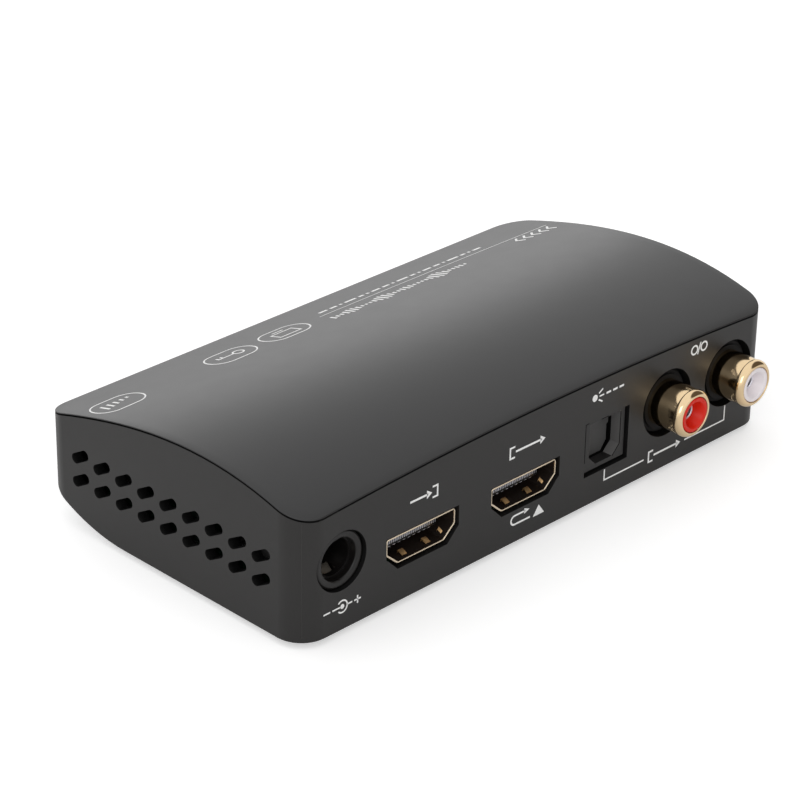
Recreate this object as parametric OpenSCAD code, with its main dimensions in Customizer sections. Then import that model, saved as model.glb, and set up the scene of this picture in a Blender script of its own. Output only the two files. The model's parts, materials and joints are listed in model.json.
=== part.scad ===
// Signal box with two video sockets, an optical socket, two phono sockets and a power inlet.
// X runs along the row of ports, with the vented end of the photograph at +X. Y runs toward the ports,
// Z is up, and the origin lies on the surface that the feet stand on, under the middle of the whole
// object: the phono sleeves reach further out than the front controls, so the case sits a little back.

/* [Case] */
// Length of the case along the row of ports
case_length = 110.6; // [109:0.2:125]
// Depth of the case from the port face to the front face
case_depth = 60.6; // [60:0.2:70]
// Corner radius of the case, seen from above
corner_r = 5; // [4:0.5:8]
// Thickness of the side walls
wall = 2; // [1.6:0.1:2]
// Thickness of the floor
floor_t = 2; // [1.6:0.1:2]
// Height of the cover at the rear corners, above the underside
rear_h = 21; // [20:0.2:24]
// Height of the cover along the front edge, above the underside
front_h = 17.7; // [17:0.1:20]
// Rise of the arched cover above a straight line from rear to front
crown_rise = 5.3; // [3:0.1:7]
// Extra rise that leans the arch toward the ports
crown_lean = 1.2; // [0:0.1:2]
// Bow of the cover's rear edge over the length of the case
rear_bow = 2; // [0:0.1:3]
// Depth of the front part of the underside, which rises toward the front
belly_run = 19.6; // [15:0.1:20]
// Radius of the curve that lifts the underside toward the front
belly_r = 34; // [33:0.5:60]

/* [Cover] */
// Thickness of the cover's plate
cover_t = 1.8; // [1.4:0.1:2.2]
// Thickness of the cover's thin edge above the walls
cover_edge = 0.5; // [0.4:0.05:0.8]
// Gap of the seam between the cover and the walls
seam_gap = 0.3; // [0.2:0.05:0.4]
// Thickness of the rib that locates the cover inside the walls
rib_t = 1; // [0.8:0.1:1.4]
// Height of the locating rib below the plate
rib_h = 1.6; // [1:0.1:2]

/* [Vents] */
// Number of vent slots in a row
vent_count = 9; // [3:1:9]
// Number of rows of vent slots
vent_rows = 2; // [1:1:2]
// Distance between the rows of vent slots
vent_row_gap = 4.24; // [4:0.02:4.4]
// Overall length of a vent slot
vent_length = 4.5; // [3:0.1:4.6]
// Width of a vent slot
vent_w = 1.8; // [1:0.1:2]
// Slant of the vent slots from level, in degrees
vent_slant = 30; // [0:1:45]
// Distance of the first vent slot's middle from the port face
vent_rear = 8.7; // [8:0.1:9.5]
// Distance of the last vent slot's middle from the front face
vent_front = 9.26; // [9:0.02:11]
// Height of the lower row of vent slots, above the underside
vent_low = 8.7; // [8:0.1:10]

/* [Port places] */
// Place of the power inlet, as a share of the case's length from the vented end
inlet_share = 0.0787; // [0.076:0.0001:0.085]
// Place of the video input, as a share of the case's length
video_in_share = 0.2369; // [0.231:0.0001:0.244]
// Place of the video output, as a share of the case's length
video_out_share = 0.4485; // [0.443:0.0001:0.456]
// Place of the optical socket, as a share of the case's length
optical_share = 0.6248; // [0.62:0.0001:0.628]
// Place of the red phono socket, as a share of the case's length
red_share = 0.7613; // [0.76:0.0001:0.765]
// Place of the white phono socket, as a share of the case's length
white_share = 0.9051; // [0.902:0.0001:0.908]
// Height of the round sockets' axes, above the underside
axis_h = 12.15; // [12:0.05:12.4]

/* [Video sockets] */
// Width of a video socket's shell, outside
shell_w = 15; // [14.6:0.1:15.4]
// Height of a video socket's shell, outside
shell_h = 5.1; // [5:0.05:5.4]
// Thickness of the shell's sheet
shell_t = 0.35; // [0.25:0.05:0.4]
// Depth of the shell from its rim to its back
shell_depth = 11; // [10:0.5:12]
// Distance from the port face back to the shell's rim
rim_recess = 0.5; // [0:0.1:0.8]
// Clearance round a socket in its cut-out
port_gap = 0.5; // [0.3:0.05:0.6]

/* [Power inlet] */
// Diameter of the inlet's round nose
inlet_nose_d = 9.8; // [9.4:0.1:10]
// Diameter of the inlet's bore
inlet_bore_d = 6.5; // [6.2:0.1:6.6]
// Diameter of the inlet's centre pin
inlet_pin_d = 2.1; // [2:0.1:2.5]

/* [Optical socket] */
// Width of the optical socket's body
optical_w = 9.7; // [9.5:0.1:9.9]
// Width of the plug opening
plug_w = 7.5; // [7.2:0.1:7.6]
// Height of the plug opening
plug_h = 7.8; // [7.4:0.1:7.9]
// Distance from the body's face back to the shutter
shutter_recess = 2.2; // [2:0.1:2.4]

/* [Phono sockets] */
// Outer diameter of the phono sleeve
sleeve_d = 8.4; // [8.2:0.1:8.6]
// Length of the sleeve in front of the port face
sleeve_out = 6.2; // [5:0.1:8]
// Clearance round a phono socket's flange in its panel hole
phono_gap = 0.6; // [0.4:0.05:0.8]
// Diameter of the hole for the centre pin
centre_bore_d = 3.2; // [3:0.1:3.3]

/* [Front controls] */
// Place of the slide switch, as a share of the case's length from the vented end
switch_share = 0.3255; // [0.3:0.0005:0.36]
// Place of the push button, as a share of the case's length
button_share = 0.5; // [0.48:0.005:0.52]
// Place of the first indicator lamp, as a share of the case's length
lamp_share = 0.633; // [0.62:0.001:0.65]
// Distance between the indicator lamps
lamp_pitch = 8; // [6:0.5:9]
// Number of indicator lamps
lamp_count = 3; // [1:1:3]
// Travel of the slide switch from its middle place to either side
switch_travel = 2; // [1.5:0.1:2.2]
// Travel of the push button
button_travel = 0.5; // [0.3:0.1:0.6]

/* [Feet and screws] */
// Height of the case above the surface it stands on
foot_stand = 1.2; // [0.8:0.1:2]
// Diameter of a rubber foot
foot_d = 8; // [6:0.5:8.4]
// Diameter of the case screws
screw_d = 2.6; // [2.2:0.1:2.8]
// Length of the case screws below the head
screw_length = 11; // [9:0.5:12]

/* [Hidden] */
$fn = 64;

// One overrun for every cut, and the running clearances
cut_over = 1;
seat_gap = 0.1;
run_gap = 0.05;
slide_gap = 0.2;

// Heights above the surface that the feet stand on
base_z = foot_stand;
board_t = 1.6;
board_top_h = 6.4;
flat_depth = case_depth - belly_run;
board_top = base_z + board_top_h;
axis_z = base_z + axis_h;

// Middle of the case in Y, set so that the whole object is centred
knob_out = 0.9;
case_y = (knob_out - sleeve_out) / 2;

// Places along the case, inward from the port face and inward from the front face
function along(s) = case_length / 2 - s;
function inward(d) = case_y + case_depth / 2 - d;
function from_front(f) = case_y - case_depth / 2 + f;

inlet_x = along(case_length * inlet_share);
video_in_x = along(case_length * video_in_share);
video_out_x = along(case_length * video_out_share);
optical_x = along(case_length * optical_share);
red_x = along(case_length * red_share);
white_x = along(case_length * white_share);
switch_x = along(case_length * switch_share);
button_x = along(case_length * button_share);
lamp_places = [for (i = [0:lamp_count - 1]) along(case_length * lamp_share + i * lamp_pitch)];

// Height of the arched cover above a point of the plan
function crown_z(x, y) =
    let (t = 1 / 2 - (y - case_y) / case_depth, u = 2 * x / case_length)
    base_z + rear_h + (front_h - rear_h) * t
    + 4 * t * (1 - t) * (crown_rise + crown_lean * (1 - 2 * t))
    + rear_bow * (1 - t) * (1 - u * u);

// Everything below the arched surface lowered by drop, on a grid of cells
cells_x = 12;
cells_y = 22;
grid_over = 1.5;
grid_x = case_length + 2 * grid_over;
grid_y = case_depth + 2 * grid_over;

function grid_point(i, j, drop) =
    let (x = grid_x * (i / cells_x - 1 / 2), y = case_y + grid_y * (j / cells_y - 1 / 2))
    [x, y, crown_z(x, y) - drop];

module crown_block(drop) {
    row = cells_y + 1;
    top = [for (i = [0:cells_x]) for (j = [0:cells_y]) grid_point(i, j, drop)];
    low = [for (x = [-grid_x, grid_x]) for (y = [-grid_y, grid_y]) [x / 2, case_y + y / 2, -grid_over]];
    base = len(top);
    cells = [for (i = [0:cells_x - 1]) for (j = [0:cells_y - 1]) each [
        [i * row + j, i * row + j + 1, (i + 1) * row + j + 1],
        [i * row + j, (i + 1) * row + j + 1, (i + 1) * row + j]]];
    near = [base, base + 2, for (i = [cells_x:-1:0]) i * row];
    far = [base + 3, base + 1, for (i = [0:cells_x]) i * row + cells_y];
    left = [base + 1, base, for (j = [0:cells_y]) j];
    right = [base + 2, base + 3, for (j = [cells_y:-1:0]) cells_x * row + j];
    under = [base, base + 1, base + 3, base + 2];
    polyhedron(concat(top, low), concat(cells, [near, far, left, right, under]), convexity = 4);
}

// Plan of the case, drawn in from its outline by inset
module plan(inset) {
    r = corner_r - inset;
    w = case_length / 2 - corner_r;
    h = case_depth / 2 - corner_r;
    square([2 * w, 2 * (h + r)], center = true);
    square([2 * (w + r), 2 * h], center = true);
    for (x = [-w, w])
        for (y = [-h, h])
            translate([x, y]) circle(r);
}

tall = rear_h + crown_rise + crown_lean + rear_bow + foot_stand;

module plan_prism(inset) {
    translate([0, case_y, 0]) linear_extrude(2 * tall) plan(inset);
}

// Space above the underside: level at the rear, rolled up toward the front
module above_underside(thick) {
    translate([-case_length, inward(flat_depth), base_z + thick])
        cube([2 * case_length, 2 * case_depth, 2 * tall]);
    translate([0, inward(flat_depth), base_z + belly_r])
        rotate([0, 90, 0])
            cylinder(r = belly_r - thick, h = 2 * case_length, center = true, $fn = 200);
}

// A flat shape in X and Z, run inward from the port face between two depths
module run_inward(d0, d1) {
    translate([0, inward(d0), 0])
        rotate([90, 0, 0])
            linear_extrude(d1 - d0) children();
}

// A round bar, or a cone, that runs inward between two depths
module bar(x, z, d0, d1, r0, r1 = -1) {
    translate([x, inward(d0), z])
        rotate([90, 0, 0])
            cylinder(h = d1 - d0, r1 = r0, r2 = r1 < 0 ? r0 : r1);
}

// A block centred on x that starts at depth d and stands on height z
module block(x, d, z, size) {
    translate([x - size.x / 2, inward(d) - size.y, z]) cube(size);
}

// Screw posts of the case and the cover, by their distances from the ends, the rear and the front
post_side = 8;
post_rear = 21;
post_front = 12.6;
post_r = 3.6;
post_h = 8.8;
seat_h = 4.4;
head_d = 4.6;
head_h = 1.7;
post_top = base_z + post_h;
seat_z = base_z + seat_h;
post_s = [post_side, case_length - post_side];
post_d = [post_rear, case_depth - post_front];
post_places = [for (s = post_s) for (d = post_d) [along(s), inward(d)]];

// Standoffs that carry the board
stand_r = 2.5;
board_screw_d = 2;
board_screw_length = 4.5;
board_head_d = 3.8;
board_head_h = 1.3;
stand_rear = 8;
stand_front = 13.6;
stand_x = [(video_in_x + video_out_x) / 2,
    (video_out_x - shell_w / 2 + optical_x + optical_w / 2) / 2];

// Rubber feet
foot_sink = 0.8;
foot_side = 11;
foot_rear = 9.5;
foot_front = 5;
foot_places = [for (s = [foot_side, case_length - foot_side])
    for (d = [foot_rear, flat_depth - foot_front]) [along(s), inward(d)]];

// Video socket outline: the sides drop, step in and slope to a narrower floor
shell_side_h = 2.9;
shell_step_h = 0.45;
shell_step_w = 0.55;
shell_slope_w = 2.25;
shell_floor_w = shell_w - 2 * shell_slope_w;

function shell_outline(x, grow) =
    let (z0 = board_top - grow, z1 = board_top + shell_h + grow, w = shell_w / 2 + grow,
        side = board_top + shell_h - shell_side_h - grow / 2, f = shell_floor_w / 2 + grow / 2)
    [[x - f, z0], [x + f, z0], [x + w - shell_step_w, side - shell_step_h], [x + w, side],
        [x + w, z1], [x - w, z1], [x - w, side], [x - w + shell_step_w, side - shell_step_h]];

shell_back = rim_recess + shell_depth;
tongue_side = 1.7;
tongue_w = shell_w - 2 * tongue_side;
tongue_t = 1.5;
tongue_rise = 2.4;
tongue_front = 3.5;
tongue_root = 3;
contact_w = 0.5;
contact_t = 0.12;
upper_contacts = 10;
lower_contacts = 9;
contact_pitch = tongue_w / (upper_contacts + 1 / 2);
spring_w = 1.3;
spring_l = 3;
spring_t = 0.3;
spring_from = 1.4;
spring_apart = 5.3;
leg_l = 1.2;
leg_drop = board_t - seat_gap;
leg_first = 3.6;
leg_apart = 5;

// Power inlet
inlet_side = 1.25;
inlet_body_w = inlet_bore_d + 2 * inlet_side;
inlet_body_top = inlet_bore_d / 2 + inlet_side + inlet_side / 2;
inlet_nose_from = 0.2;
inlet_body_from = wall + slide_gap;
inlet_body_to = 14;
inlet_rim = 0.7;
inlet_mouth_d = inlet_nose_d - 2 * inlet_rim;
inlet_step = 1;
inlet_bore_to = 11.4;
inlet_tip = 3;
leaf_w = 2.4;
leaf_t = 0.3;
leaf_slot_w = 3;
leaf_slot_from = 3;
leaf_slot_drop = 1.2;
leaf_bump = 0.5;
leaf_bump_at = 4.6;

// Optical socket
plug_low = 6.75;
plug_chamfer = 1.7;
optical_chin = 0.75;
optical_brow = 0.55;
optical_from = 0.5;
optical_low = plug_low - optical_chin;
optical_nose_h = plug_h + optical_chin + optical_brow;
optical_body_from = wall + seat_gap;
optical_body_to = 14;
optical_gap = 0.5;
optical_gap_low = 0.6;
optical_gap_top = 0.2;
optical_cut_w = optical_w + 2 * optical_gap;
optical_cut_low = optical_low - optical_gap_low;
optical_cut_h = optical_nose_h + optical_gap_low + optical_gap_top;
shutter_t = 0.8;
shutter_side_gap = 0.3;
hinge_rise = 0.45;
hinge_r = 0.5;
hinge_pin_r = 0.4;
hinge_pin_l = 0.7;
hinge_room = 0.65;
hinge_h = plug_low + plug_h + hinge_rise;
chamber_to = 12;
chamber_lip = 0.25;
chamber_top = hinge_h + hinge_room;
optical_roof = 1.25;
optical_body_top = chamber_top + optical_roof;
shutter_d = optical_from + shutter_recess + shutter_t / 2;
shutter_w = plug_w - 2 * shutter_side_gap;
emitter_margin = 0.7;
emitter_w = plug_w - 2 * emitter_margin;
emitter_h = plug_h - 2 * emitter_margin;
emitter_low = plug_low + emitter_margin;
emitter_lens_r = 1.5;
emitter_lens_l = 0.8;

// Phono sockets
ring_set = 0.7;
flange_set = 1.3;
ring_d = sleeve_d + 2 * ring_set;
flange_d = sleeve_d + 2 * flange_set;
phono_hole_d = flange_d + 2 * phono_gap;
phono_base_w = flange_d;
phono_base_from = wall + seat_gap;
phono_base_to = 12.6;
phono_base_top = phono_base_w / 2;
flange_from = 1.1;
ring_from = 0.7;
sleeve_wall = 0.6;
shank_set = 0.25;
sleeve_to = 4;
lip_t = 0.9;
lip_w = 1;
lip_in_d = sleeve_d - 2 * lip_w;
lip_round = 0.6;
insert_set = 0.25;
funnel_d = 4.8;
funnel_l = 1.6;
insert_gap = 0.15;
insert_bore_d = centre_bore_d + 2 * insert_gap;
contact_wall = 0.5;
contact_from = -2.6;
contact_to = 8.5;

// Front controls, placed by their distance inward from the front face
control_h = 11.2;
control_z = base_z + control_h;
knob_w = 2.2;
knob_h = 2;
knob_stem_w = 1.6;
knob_stem_h = 1.4;
knob_span = knob_w + 2 * switch_travel + 2 * slide_gap;
stem_span = knob_stem_w + 2 * switch_travel + 2 * slide_gap;
switch_side = 1.5;
switch_from = 4.6;
switch_w = stem_span + 2 * switch_side;
switch_deep = 5;
switch_top = 2.2;
stem_in = 1.8;
dish_side = 1.4;
dish_w = knob_span + 2 * dish_side;
dish_h = 3.6;
dish_deep = 0.7;
cap_d = 4.8;
cap_flange_set = 0.7;
cap_flange_d = cap_d + 2 * cap_flange_set;
cap_flange_t = 0.8;
cap_back = 3.3;
plunger_d = 3;
plunger_in = 0.8;
tact_w = 6;
tact_deep = 3.6;
tact_from = 5;
lens_d = 3;
lens_rim_set = 0.3;
lens_rim_d = lens_d + 2 * lens_rim_set;
lens_rim_t = 0.8;
lens_set = 0.1;
lens_l = 5;
holder_side = 0.7;
holder_w = lens_d + 2 * holder_side;
holder_deep = 3.6;

// Circuit board, by its distances from the ends, the port face and the front face
board_side = 3;
board_rear = 3;
board_front = 7.6;
board_corner_r = 3;

// Clear room on the board: between the screw posts, and between the sockets and the front controls
room_side = post_side + post_r + slide_gap;
room_rear = max(inlet_body_to, optical_body_to, phono_base_to);
room_front = max(switch_from + switch_deep, tact_from + tact_deep, lens_set + lens_l + holder_deep);
room_length = case_length - 2 * room_side;
room_depth = case_depth - room_rear - room_front;

// A place in the clear room, from two shares of it
function room_place(shares) =
    [along(room_side + shares.x * room_length), inward(room_rear + shares.y * room_depth)];

// Places of the parts on the board, as shares of the clear room, and their sizes
signal_chip_shares = [0.275, 0.5];
sound_chip_shares = [0.81, 0.3];
control_chip_shares = [0.53, 0.5];
regulator_shares = [0.05, 0.14];
coil_shares = [[0.05, 0.38], [0.69, 0.6]];
can_shares = [[0.05, 0.67], [0.53, 0.85], [0.69, 0.22], [0.935, 0.22], [0.17, 0.88]];
crystal_shares = [0.53, 0.15];
passive_shares = [0.79, 0.6];
passive_step_shares = [0.035, 0.055];
stand_shares = [0.4, 0.7];

signal_chip_size = [14, 14, 1.2];
sound_chip_size = [4.4, 7.8, 1.1];
control_chip_size = [7, 7, 1.1];
thermal_pad_t = 0.5;
sink_size = [20, 20, 1.6];
sink_fins = 8;
sink_fin_t = 1;
sink_fin_h = 6;
leg_w = 0.3;
leg_out = 1;
leg_t = 0.2;
leg_foot = 0.6;
regulator_size = [6.6, 3.6, 1.7];
coil_size = [6, 6, 3];
can_d = 6.3;
can_h = 7.4;
crystal_size = [10.5, 4.2, 3.4];
passive_size = [2, 1.2, 0.8];
passive_rows = 5;
passive_columns = 6;
stand_places = [for (x = stand_x) [x, inward(stand_rear)],
    for (s = stand_shares) [room_place([s, 0]).x, from_front(stand_front)]];

dark = [0.16, 0.16, 0.17];
black = [0.07, 0.07, 0.08];
gold = [0.86, 0.71, 0.42];
steel = [0.75, 0.76, 0.78];

module slot(length, w) {
    square([length - w, w], center = true);
    for (side = [-1, 1])
        translate([side * (length - w) / 2, 0]) circle(d = w);
}

module vents() {
    pitch = (case_depth - vent_rear - vent_front) / (vent_count - 1);
    for (row = [0:vent_rows - 1])
        for (i = [0:vent_count - 1])
            translate([0, inward(vent_rear + i * pitch), base_z + vent_low + row * vent_row_gap])
                rotate([vent_slant, 0, 0])
                    rotate([90, 0, 90])
                        linear_extrude(case_length + 2 * cut_over, center = true)
                            slot(vent_length, vent_w);
}

module port_cuts() {
    cut_to = wall + cut_over;
    for (x = [video_in_x, video_out_x])
        run_inward(-cut_over, cut_to) polygon(shell_outline(x, port_gap));
    bar(inlet_x, axis_z, -cut_over, cut_to, inlet_nose_d / 2 + port_gap / 2);
    block(optical_x, -cut_over, base_z + optical_cut_low,
        [optical_cut_w, cut_to + cut_over, optical_cut_h]);
    for (x = [red_x, white_x])
        bar(x, axis_z, -cut_over, cut_to, phono_hole_d / 2);
}

module front_cuts() {
    through = wall + 2 * cut_over;
    cut_from = case_depth - wall - cut_over;
    block(switch_x, cut_from, control_z - knob_h / 2 - slide_gap,
        [knob_span, through, knob_h + 2 * slide_gap]);
    block(switch_x, case_depth - dish_deep, control_z - dish_h / 2,
        [dish_w, dish_deep + cut_over, dish_h]);
    bar(button_x, control_z, cut_from, case_depth + cut_over, cap_d / 2 + slide_gap);
    for (x = lamp_places)
        bar(x, control_z, cut_from, case_depth + cut_over, lens_d / 2 + seat_gap);
}

module bottom_case() {
    post_bore = screw_d / 2 + slide_gap;
    color(dark) difference() {
        union() {
            difference() {
                intersection() {
                    plan_prism(0);
                    above_underside(0);
                    crown_block(cover_edge + seam_gap);
                }
                intersection() {
                    plan_prism(wall);
                    above_underside(floor_t);
                }
                vents();
                port_cuts();
                front_cuts();
            }
            intersection() {
                plan_prism(wall / 2);
                above_underside(floor_t / 2);
                union() {
                    for (p = post_places)
                        translate([p.x, p.y, 0]) cylinder(r = post_r, h = post_top);
                    for (p = stand_places)
                        translate([p.x, p.y, 0]) cylinder(r = stand_r, h = board_top - board_t);
                }
            }
        }
        for (p = post_places) {
            translate([p.x, p.y, 0]) cylinder(d = head_d + 2 * slide_gap, h = seat_z);
            translate([p.x, p.y, 0]) cylinder(r = post_bore, h = post_top + cut_over);
        }
        for (p = stand_places)
            translate([p.x, p.y, base_z + floor_t / 2])
                cylinder(d = board_screw_d + 2 * run_gap, h = board_top);
        for (p = foot_places)
            translate([p.x, p.y, 0]) cylinder(d = foot_d + 2 * slide_gap, h = base_z + foot_sink);
    }
}

module top_cover() {
    inset = wall + slide_gap;
    lap = cover_edge / 2;
    color(dark) difference() {
        union() {
            difference() {
                intersection() {
                    plan_prism(0);
                    crown_block(0);
                }
                crown_block(cover_edge);
            }
            difference() {
                intersection() {
                    plan_prism(inset);
                    crown_block(lap);
                }
                crown_block(cover_t);
            }
            difference() {
                intersection() {
                    plan_prism(inset);
                    crown_block(cover_t - lap);
                }
                plan_prism(inset + rib_t);
                crown_block(cover_t + rib_h);
            }
            intersection() {
                crown_block(cover_t - lap);
                for (p = post_places)
                    translate([p.x, p.y, post_top + seat_gap]) cylinder(r = post_r, h = tall);
            }
        }
        for (p = post_places)
            translate([p.x, p.y, 0])
                cylinder(d = screw_d + 2 * run_gap, h = seat_z + screw_length + cut_over);
    }
}

module rubber_feet() {
    color(black) for (p = foot_places)
        translate([p.x, p.y, 0]) cylinder(d = foot_d, h = base_z + foot_sink);
}

module case_screws() {
    drive_d = screw_d * 2 / 3;
    color(steel) for (p = post_places)
        translate([p.x, p.y, seat_z]) {
            cylinder(d = screw_d, h = screw_length);
            difference() {
                translate([0, 0, -head_h]) cylinder(d = head_d, h = head_h);
                translate([0, 0, -head_h - cut_over])
                    cylinder(d = drive_d, h = head_h / 2 + cut_over, $fn = 6);
            }
        }
}

module board_screws() {
    color(steel) for (p = stand_places)
        translate([p.x, p.y, board_top]) {
            translate([0, 0, -board_screw_length]) cylinder(d = board_screw_d, h = board_screw_length);
            difference() {
                cylinder(d = board_head_d, h = board_head_h);
                translate([0, 0, board_head_h / 2])
                    cylinder(d = board_head_d / 3, h = board_head_h, $fn = 6);
            }
        }
}

// Slots in the board for the legs of a video socket's shell
module leg_slots(x) {
    for (side = [-1, 1])
        for (d = [leg_first, leg_first + leg_apart])
            block(x + side * (shell_w - shell_t) / 2, d - seat_gap, board_top - board_t - cut_over,
                [shell_t + 2 * seat_gap, leg_l + 2 * seat_gap, board_t + 2 * cut_over]);
}

module circuit_board() {
    w = case_length / 2 - board_side - board_corner_r;
    y0 = from_front(board_front) + board_corner_r;
    y1 = inward(board_rear) - board_corner_r;
    color([0.08, 0.3, 0.16]) difference() {
        translate([0, 0, board_top - board_t])
            linear_extrude(board_t) {
                translate([-w, y0 - board_corner_r]) square([2 * w, y1 - y0 + 2 * board_corner_r]);
                translate([-w - board_corner_r, y0]) square([2 * (w + board_corner_r), y1 - y0]);
                for (x = [-w, w])
                    for (y = [y0, y1])
                        translate([x, y]) circle(board_corner_r);
            }
        for (p = post_places)
            translate([p.x, p.y, 0]) cylinder(r = post_r + slide_gap, h = board_top + cut_over);
        for (p = stand_places)
            translate([p.x, p.y, 0]) cylinder(d = board_screw_d + 2 * run_gap, h = board_top + cut_over);
        leg_slots(video_in_x);
        leg_slots(video_out_x);
    }
}

module video_shell(x) {
    color(gold) {
        difference() {
            run_inward(rim_recess, shell_back) polygon(shell_outline(x, 0));
            run_inward(rim_recess - cut_over, shell_back + cut_over) polygon(shell_outline(x, -shell_t));
        }
        for (side = [-1, 1]) {
            block(x + side * spring_apart / 2, spring_from, board_top + shell_t / 2,
                [spring_w, spring_l, spring_t + shell_t / 2]);
            for (d = [leg_first, leg_first + leg_apart])
                block(x + side * (shell_w - shell_t) / 2, d, board_top - leg_drop,
                    [shell_t - run_gap, leg_l, leg_drop + shell_h / 2]);
        }
    }
}

module video_tongue(x) {
    root_from = shell_back - tongue_root;
    color(black) {
        run_inward(root_from, shell_back) polygon(shell_outline(x, -shell_t - run_gap));
        block(x, tongue_front, board_top + tongue_rise - tongue_t / 2,
            [tongue_w, root_from + run_gap - tongue_front, tongue_t]);
    }
}

module contact_row(x, z, count) {
    length = shell_back - tongue_root - tongue_front - 2 * seat_gap;
    for (i = [0:count - 1])
        block(x + (i - (count - 1) / 2) * contact_pitch, tongue_front + seat_gap, z,
            [contact_w, length, contact_t]);
}

module video_contacts(x) {
    color(steel) {
        contact_row(x, board_top + tongue_rise + tongue_t / 2, upper_contacts);
        contact_row(x, board_top + tongue_rise - tongue_t / 2 - contact_t, lower_contacts);
    }
}

module inlet_body() {
    bore_r = inlet_bore_d / 2;
    step_d = inlet_nose_from + inlet_step;
    color(black) difference() {
        union() {
            bar(inlet_x, axis_z, inlet_nose_from, inlet_body_from + cut_over, inlet_nose_d / 2);
            block(inlet_x, inlet_body_from, board_top,
                [inlet_body_w, inlet_body_to - inlet_body_from, axis_z - board_top + inlet_body_top]);
        }
        bar(inlet_x, axis_z, inlet_nose_from - cut_over, inlet_bore_to, bore_r);
        bar(inlet_x, axis_z, inlet_nose_from, step_d, inlet_mouth_d / 2, bore_r + slide_gap);
        bar(inlet_x, axis_z, inlet_bore_to - cut_over, inlet_body_to + cut_over,
            inlet_pin_d / 2 + run_gap);
        block(inlet_x, leaf_slot_from, axis_z - bore_r - leaf_slot_drop,
            [leaf_slot_w, inlet_bore_to - leaf_slot_from, bore_r + leaf_slot_drop]);
    }
}

module inlet_pin() {
    r = inlet_pin_d / 2;
    color(steel) intersection() {
        bar(inlet_x, axis_z, inlet_tip, inlet_body_to, r);
        union() {
            translate([inlet_x, inward(inlet_tip + r), axis_z]) sphere(r);
            bar(inlet_x, axis_z, inlet_tip + r, inlet_body_to, 2 * r);
        }
    }
}

// A bent strip that leans on the plug from below
module inlet_leaf() {
    low = axis_z - inlet_bore_d / 2 - leaf_slot_drop;
    high = axis_z - inlet_bore_d / 2 + leaf_bump;
    front = inward(leaf_slot_from + seat_gap);
    peak = inward(leaf_bump_at);
    back = inward(inlet_bore_to - seat_gap);
    path = [[front, low + leaf_t], [peak, high], [back, low]];
    color(steel)
        translate([inlet_x - leaf_w / 2, 0, 0])
            rotate([90, 0, 90])
                linear_extrude(leaf_w)
                    polygon([path[0], path[1], path[2], path[2] + [0, leaf_t],
                        path[1] + [0, leaf_t], path[0] + [0, leaf_t]]);
}

function plug_outline(grow) =
    let (w = plug_w / 2 + grow, z0 = base_z + plug_low - grow, z1 = base_z + plug_low + plug_h + grow)
    [[optical_x - w + plug_chamfer, z0], [optical_x + w - plug_chamfer, z0],
        [optical_x + w, z0 + plug_chamfer], [optical_x + w, z1],
        [optical_x - w, z1], [optical_x - w, z0 + plug_chamfer]];

module hinge_bar(r, length) {
    translate([optical_x, inward(shutter_d), base_z + hinge_h])
        rotate([0, 90, 0])
            cylinder(r = r, h = length, center = true);
}

module optical_body() {
    chamber_from = shutter_d - shutter_t / 2 - chamber_lip;
    pin_span = shutter_w + 2 * hinge_pin_l;
    color(black) difference() {
        union() {
            block(optical_x, optical_from, base_z + optical_low,
                [optical_w, optical_body_from - optical_from, optical_nose_h]);
            block(optical_x, optical_body_from, board_top,
                [optical_w, optical_body_to - optical_body_from, optical_body_top - board_top_h]);
        }
        run_inward(optical_from - cut_over, chamber_from + cut_over) polygon(plug_outline(0));
        block(optical_x, chamber_from, base_z + plug_low,
            [plug_w, chamber_to - chamber_from, chamber_top - plug_low]);
        hinge_bar(hinge_pin_r + run_gap, pin_span + 2 * run_gap);
        block(optical_x, chamber_to - cut_over, base_z + emitter_low,
            [emitter_w, optical_body_to - chamber_to + 2 * cut_over, emitter_h]);
    }
}

module optical_shutter() {
    low = base_z + plug_low + seat_gap;
    color(dark) {
        block(optical_x, shutter_d - shutter_t / 2, low, [shutter_w, shutter_t, base_z + hinge_h - low]);
        hinge_bar(hinge_r, shutter_w);
        hinge_bar(hinge_pin_r, shutter_w + 2 * hinge_pin_l);
    }
}

module optical_emitter() {
    lens_z = base_z + plug_low + plug_h / 2;
    color([0.2, 0.2, 0.22]) {
        block(optical_x, chamber_to, base_z + emitter_low + run_gap,
            [emitter_w - 2 * run_gap, optical_body_to - chamber_to, emitter_h - 2 * run_gap]);
        bar(optical_x, lens_z, chamber_to - emitter_lens_l, chamber_to + run_gap, emitter_lens_r);
    }
}

module phono_base(x) {
    color(black) difference() {
        union() {
            bar(x, axis_z, ring_from, flange_from + run_gap, ring_d / 2);
            bar(x, axis_z, flange_from, phono_base_from + run_gap, flange_d / 2);
            block(x, phono_base_from, board_top, [phono_base_w, phono_base_to - phono_base_from,
                axis_z - board_top + phono_base_top]);
        }
        bar(x, axis_z, ring_from - cut_over, sleeve_to, sleeve_d / 2 - shank_set + run_gap);
        bar(x, axis_z, sleeve_to - cut_over, phono_base_to + cut_over,
            centre_bore_d / 2 + contact_wall + run_gap);
    }
}

// A turned shape given by its radius and its distance inward, about a phono socket's axis
module turned(x, outline) {
    translate([x, inward(0), axis_z])
        rotate([90, 0, 0])
            rotate_extrude() polygon(outline);
}

// The sleeve's barrel ends just in front of the port face, and a slimmer shank seats in the base
module phono_sleeve(x) {
    r = sleeve_d / 2;
    shank = r - shank_set;
    bore = r - sleeve_wall;
    steps = 6;
    nose = [for (i = [0:steps])
        let (a = 90 * i / steps)
        [r - lip_round + lip_round * sin(a), -sleeve_out + lip_round * (1 - cos(a))]];
    color(gold) turned(x, concat([[lip_in_d / 2, -sleeve_out + lip_round / 3]], nose,
        [[r, -shank_set], [shank, -shank_set], [shank, sleeve_to], [bore, sleeve_to],
            [bore, -sleeve_out + lip_t], [lip_in_d / 2, -sleeve_out + lip_t]]));
}

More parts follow.
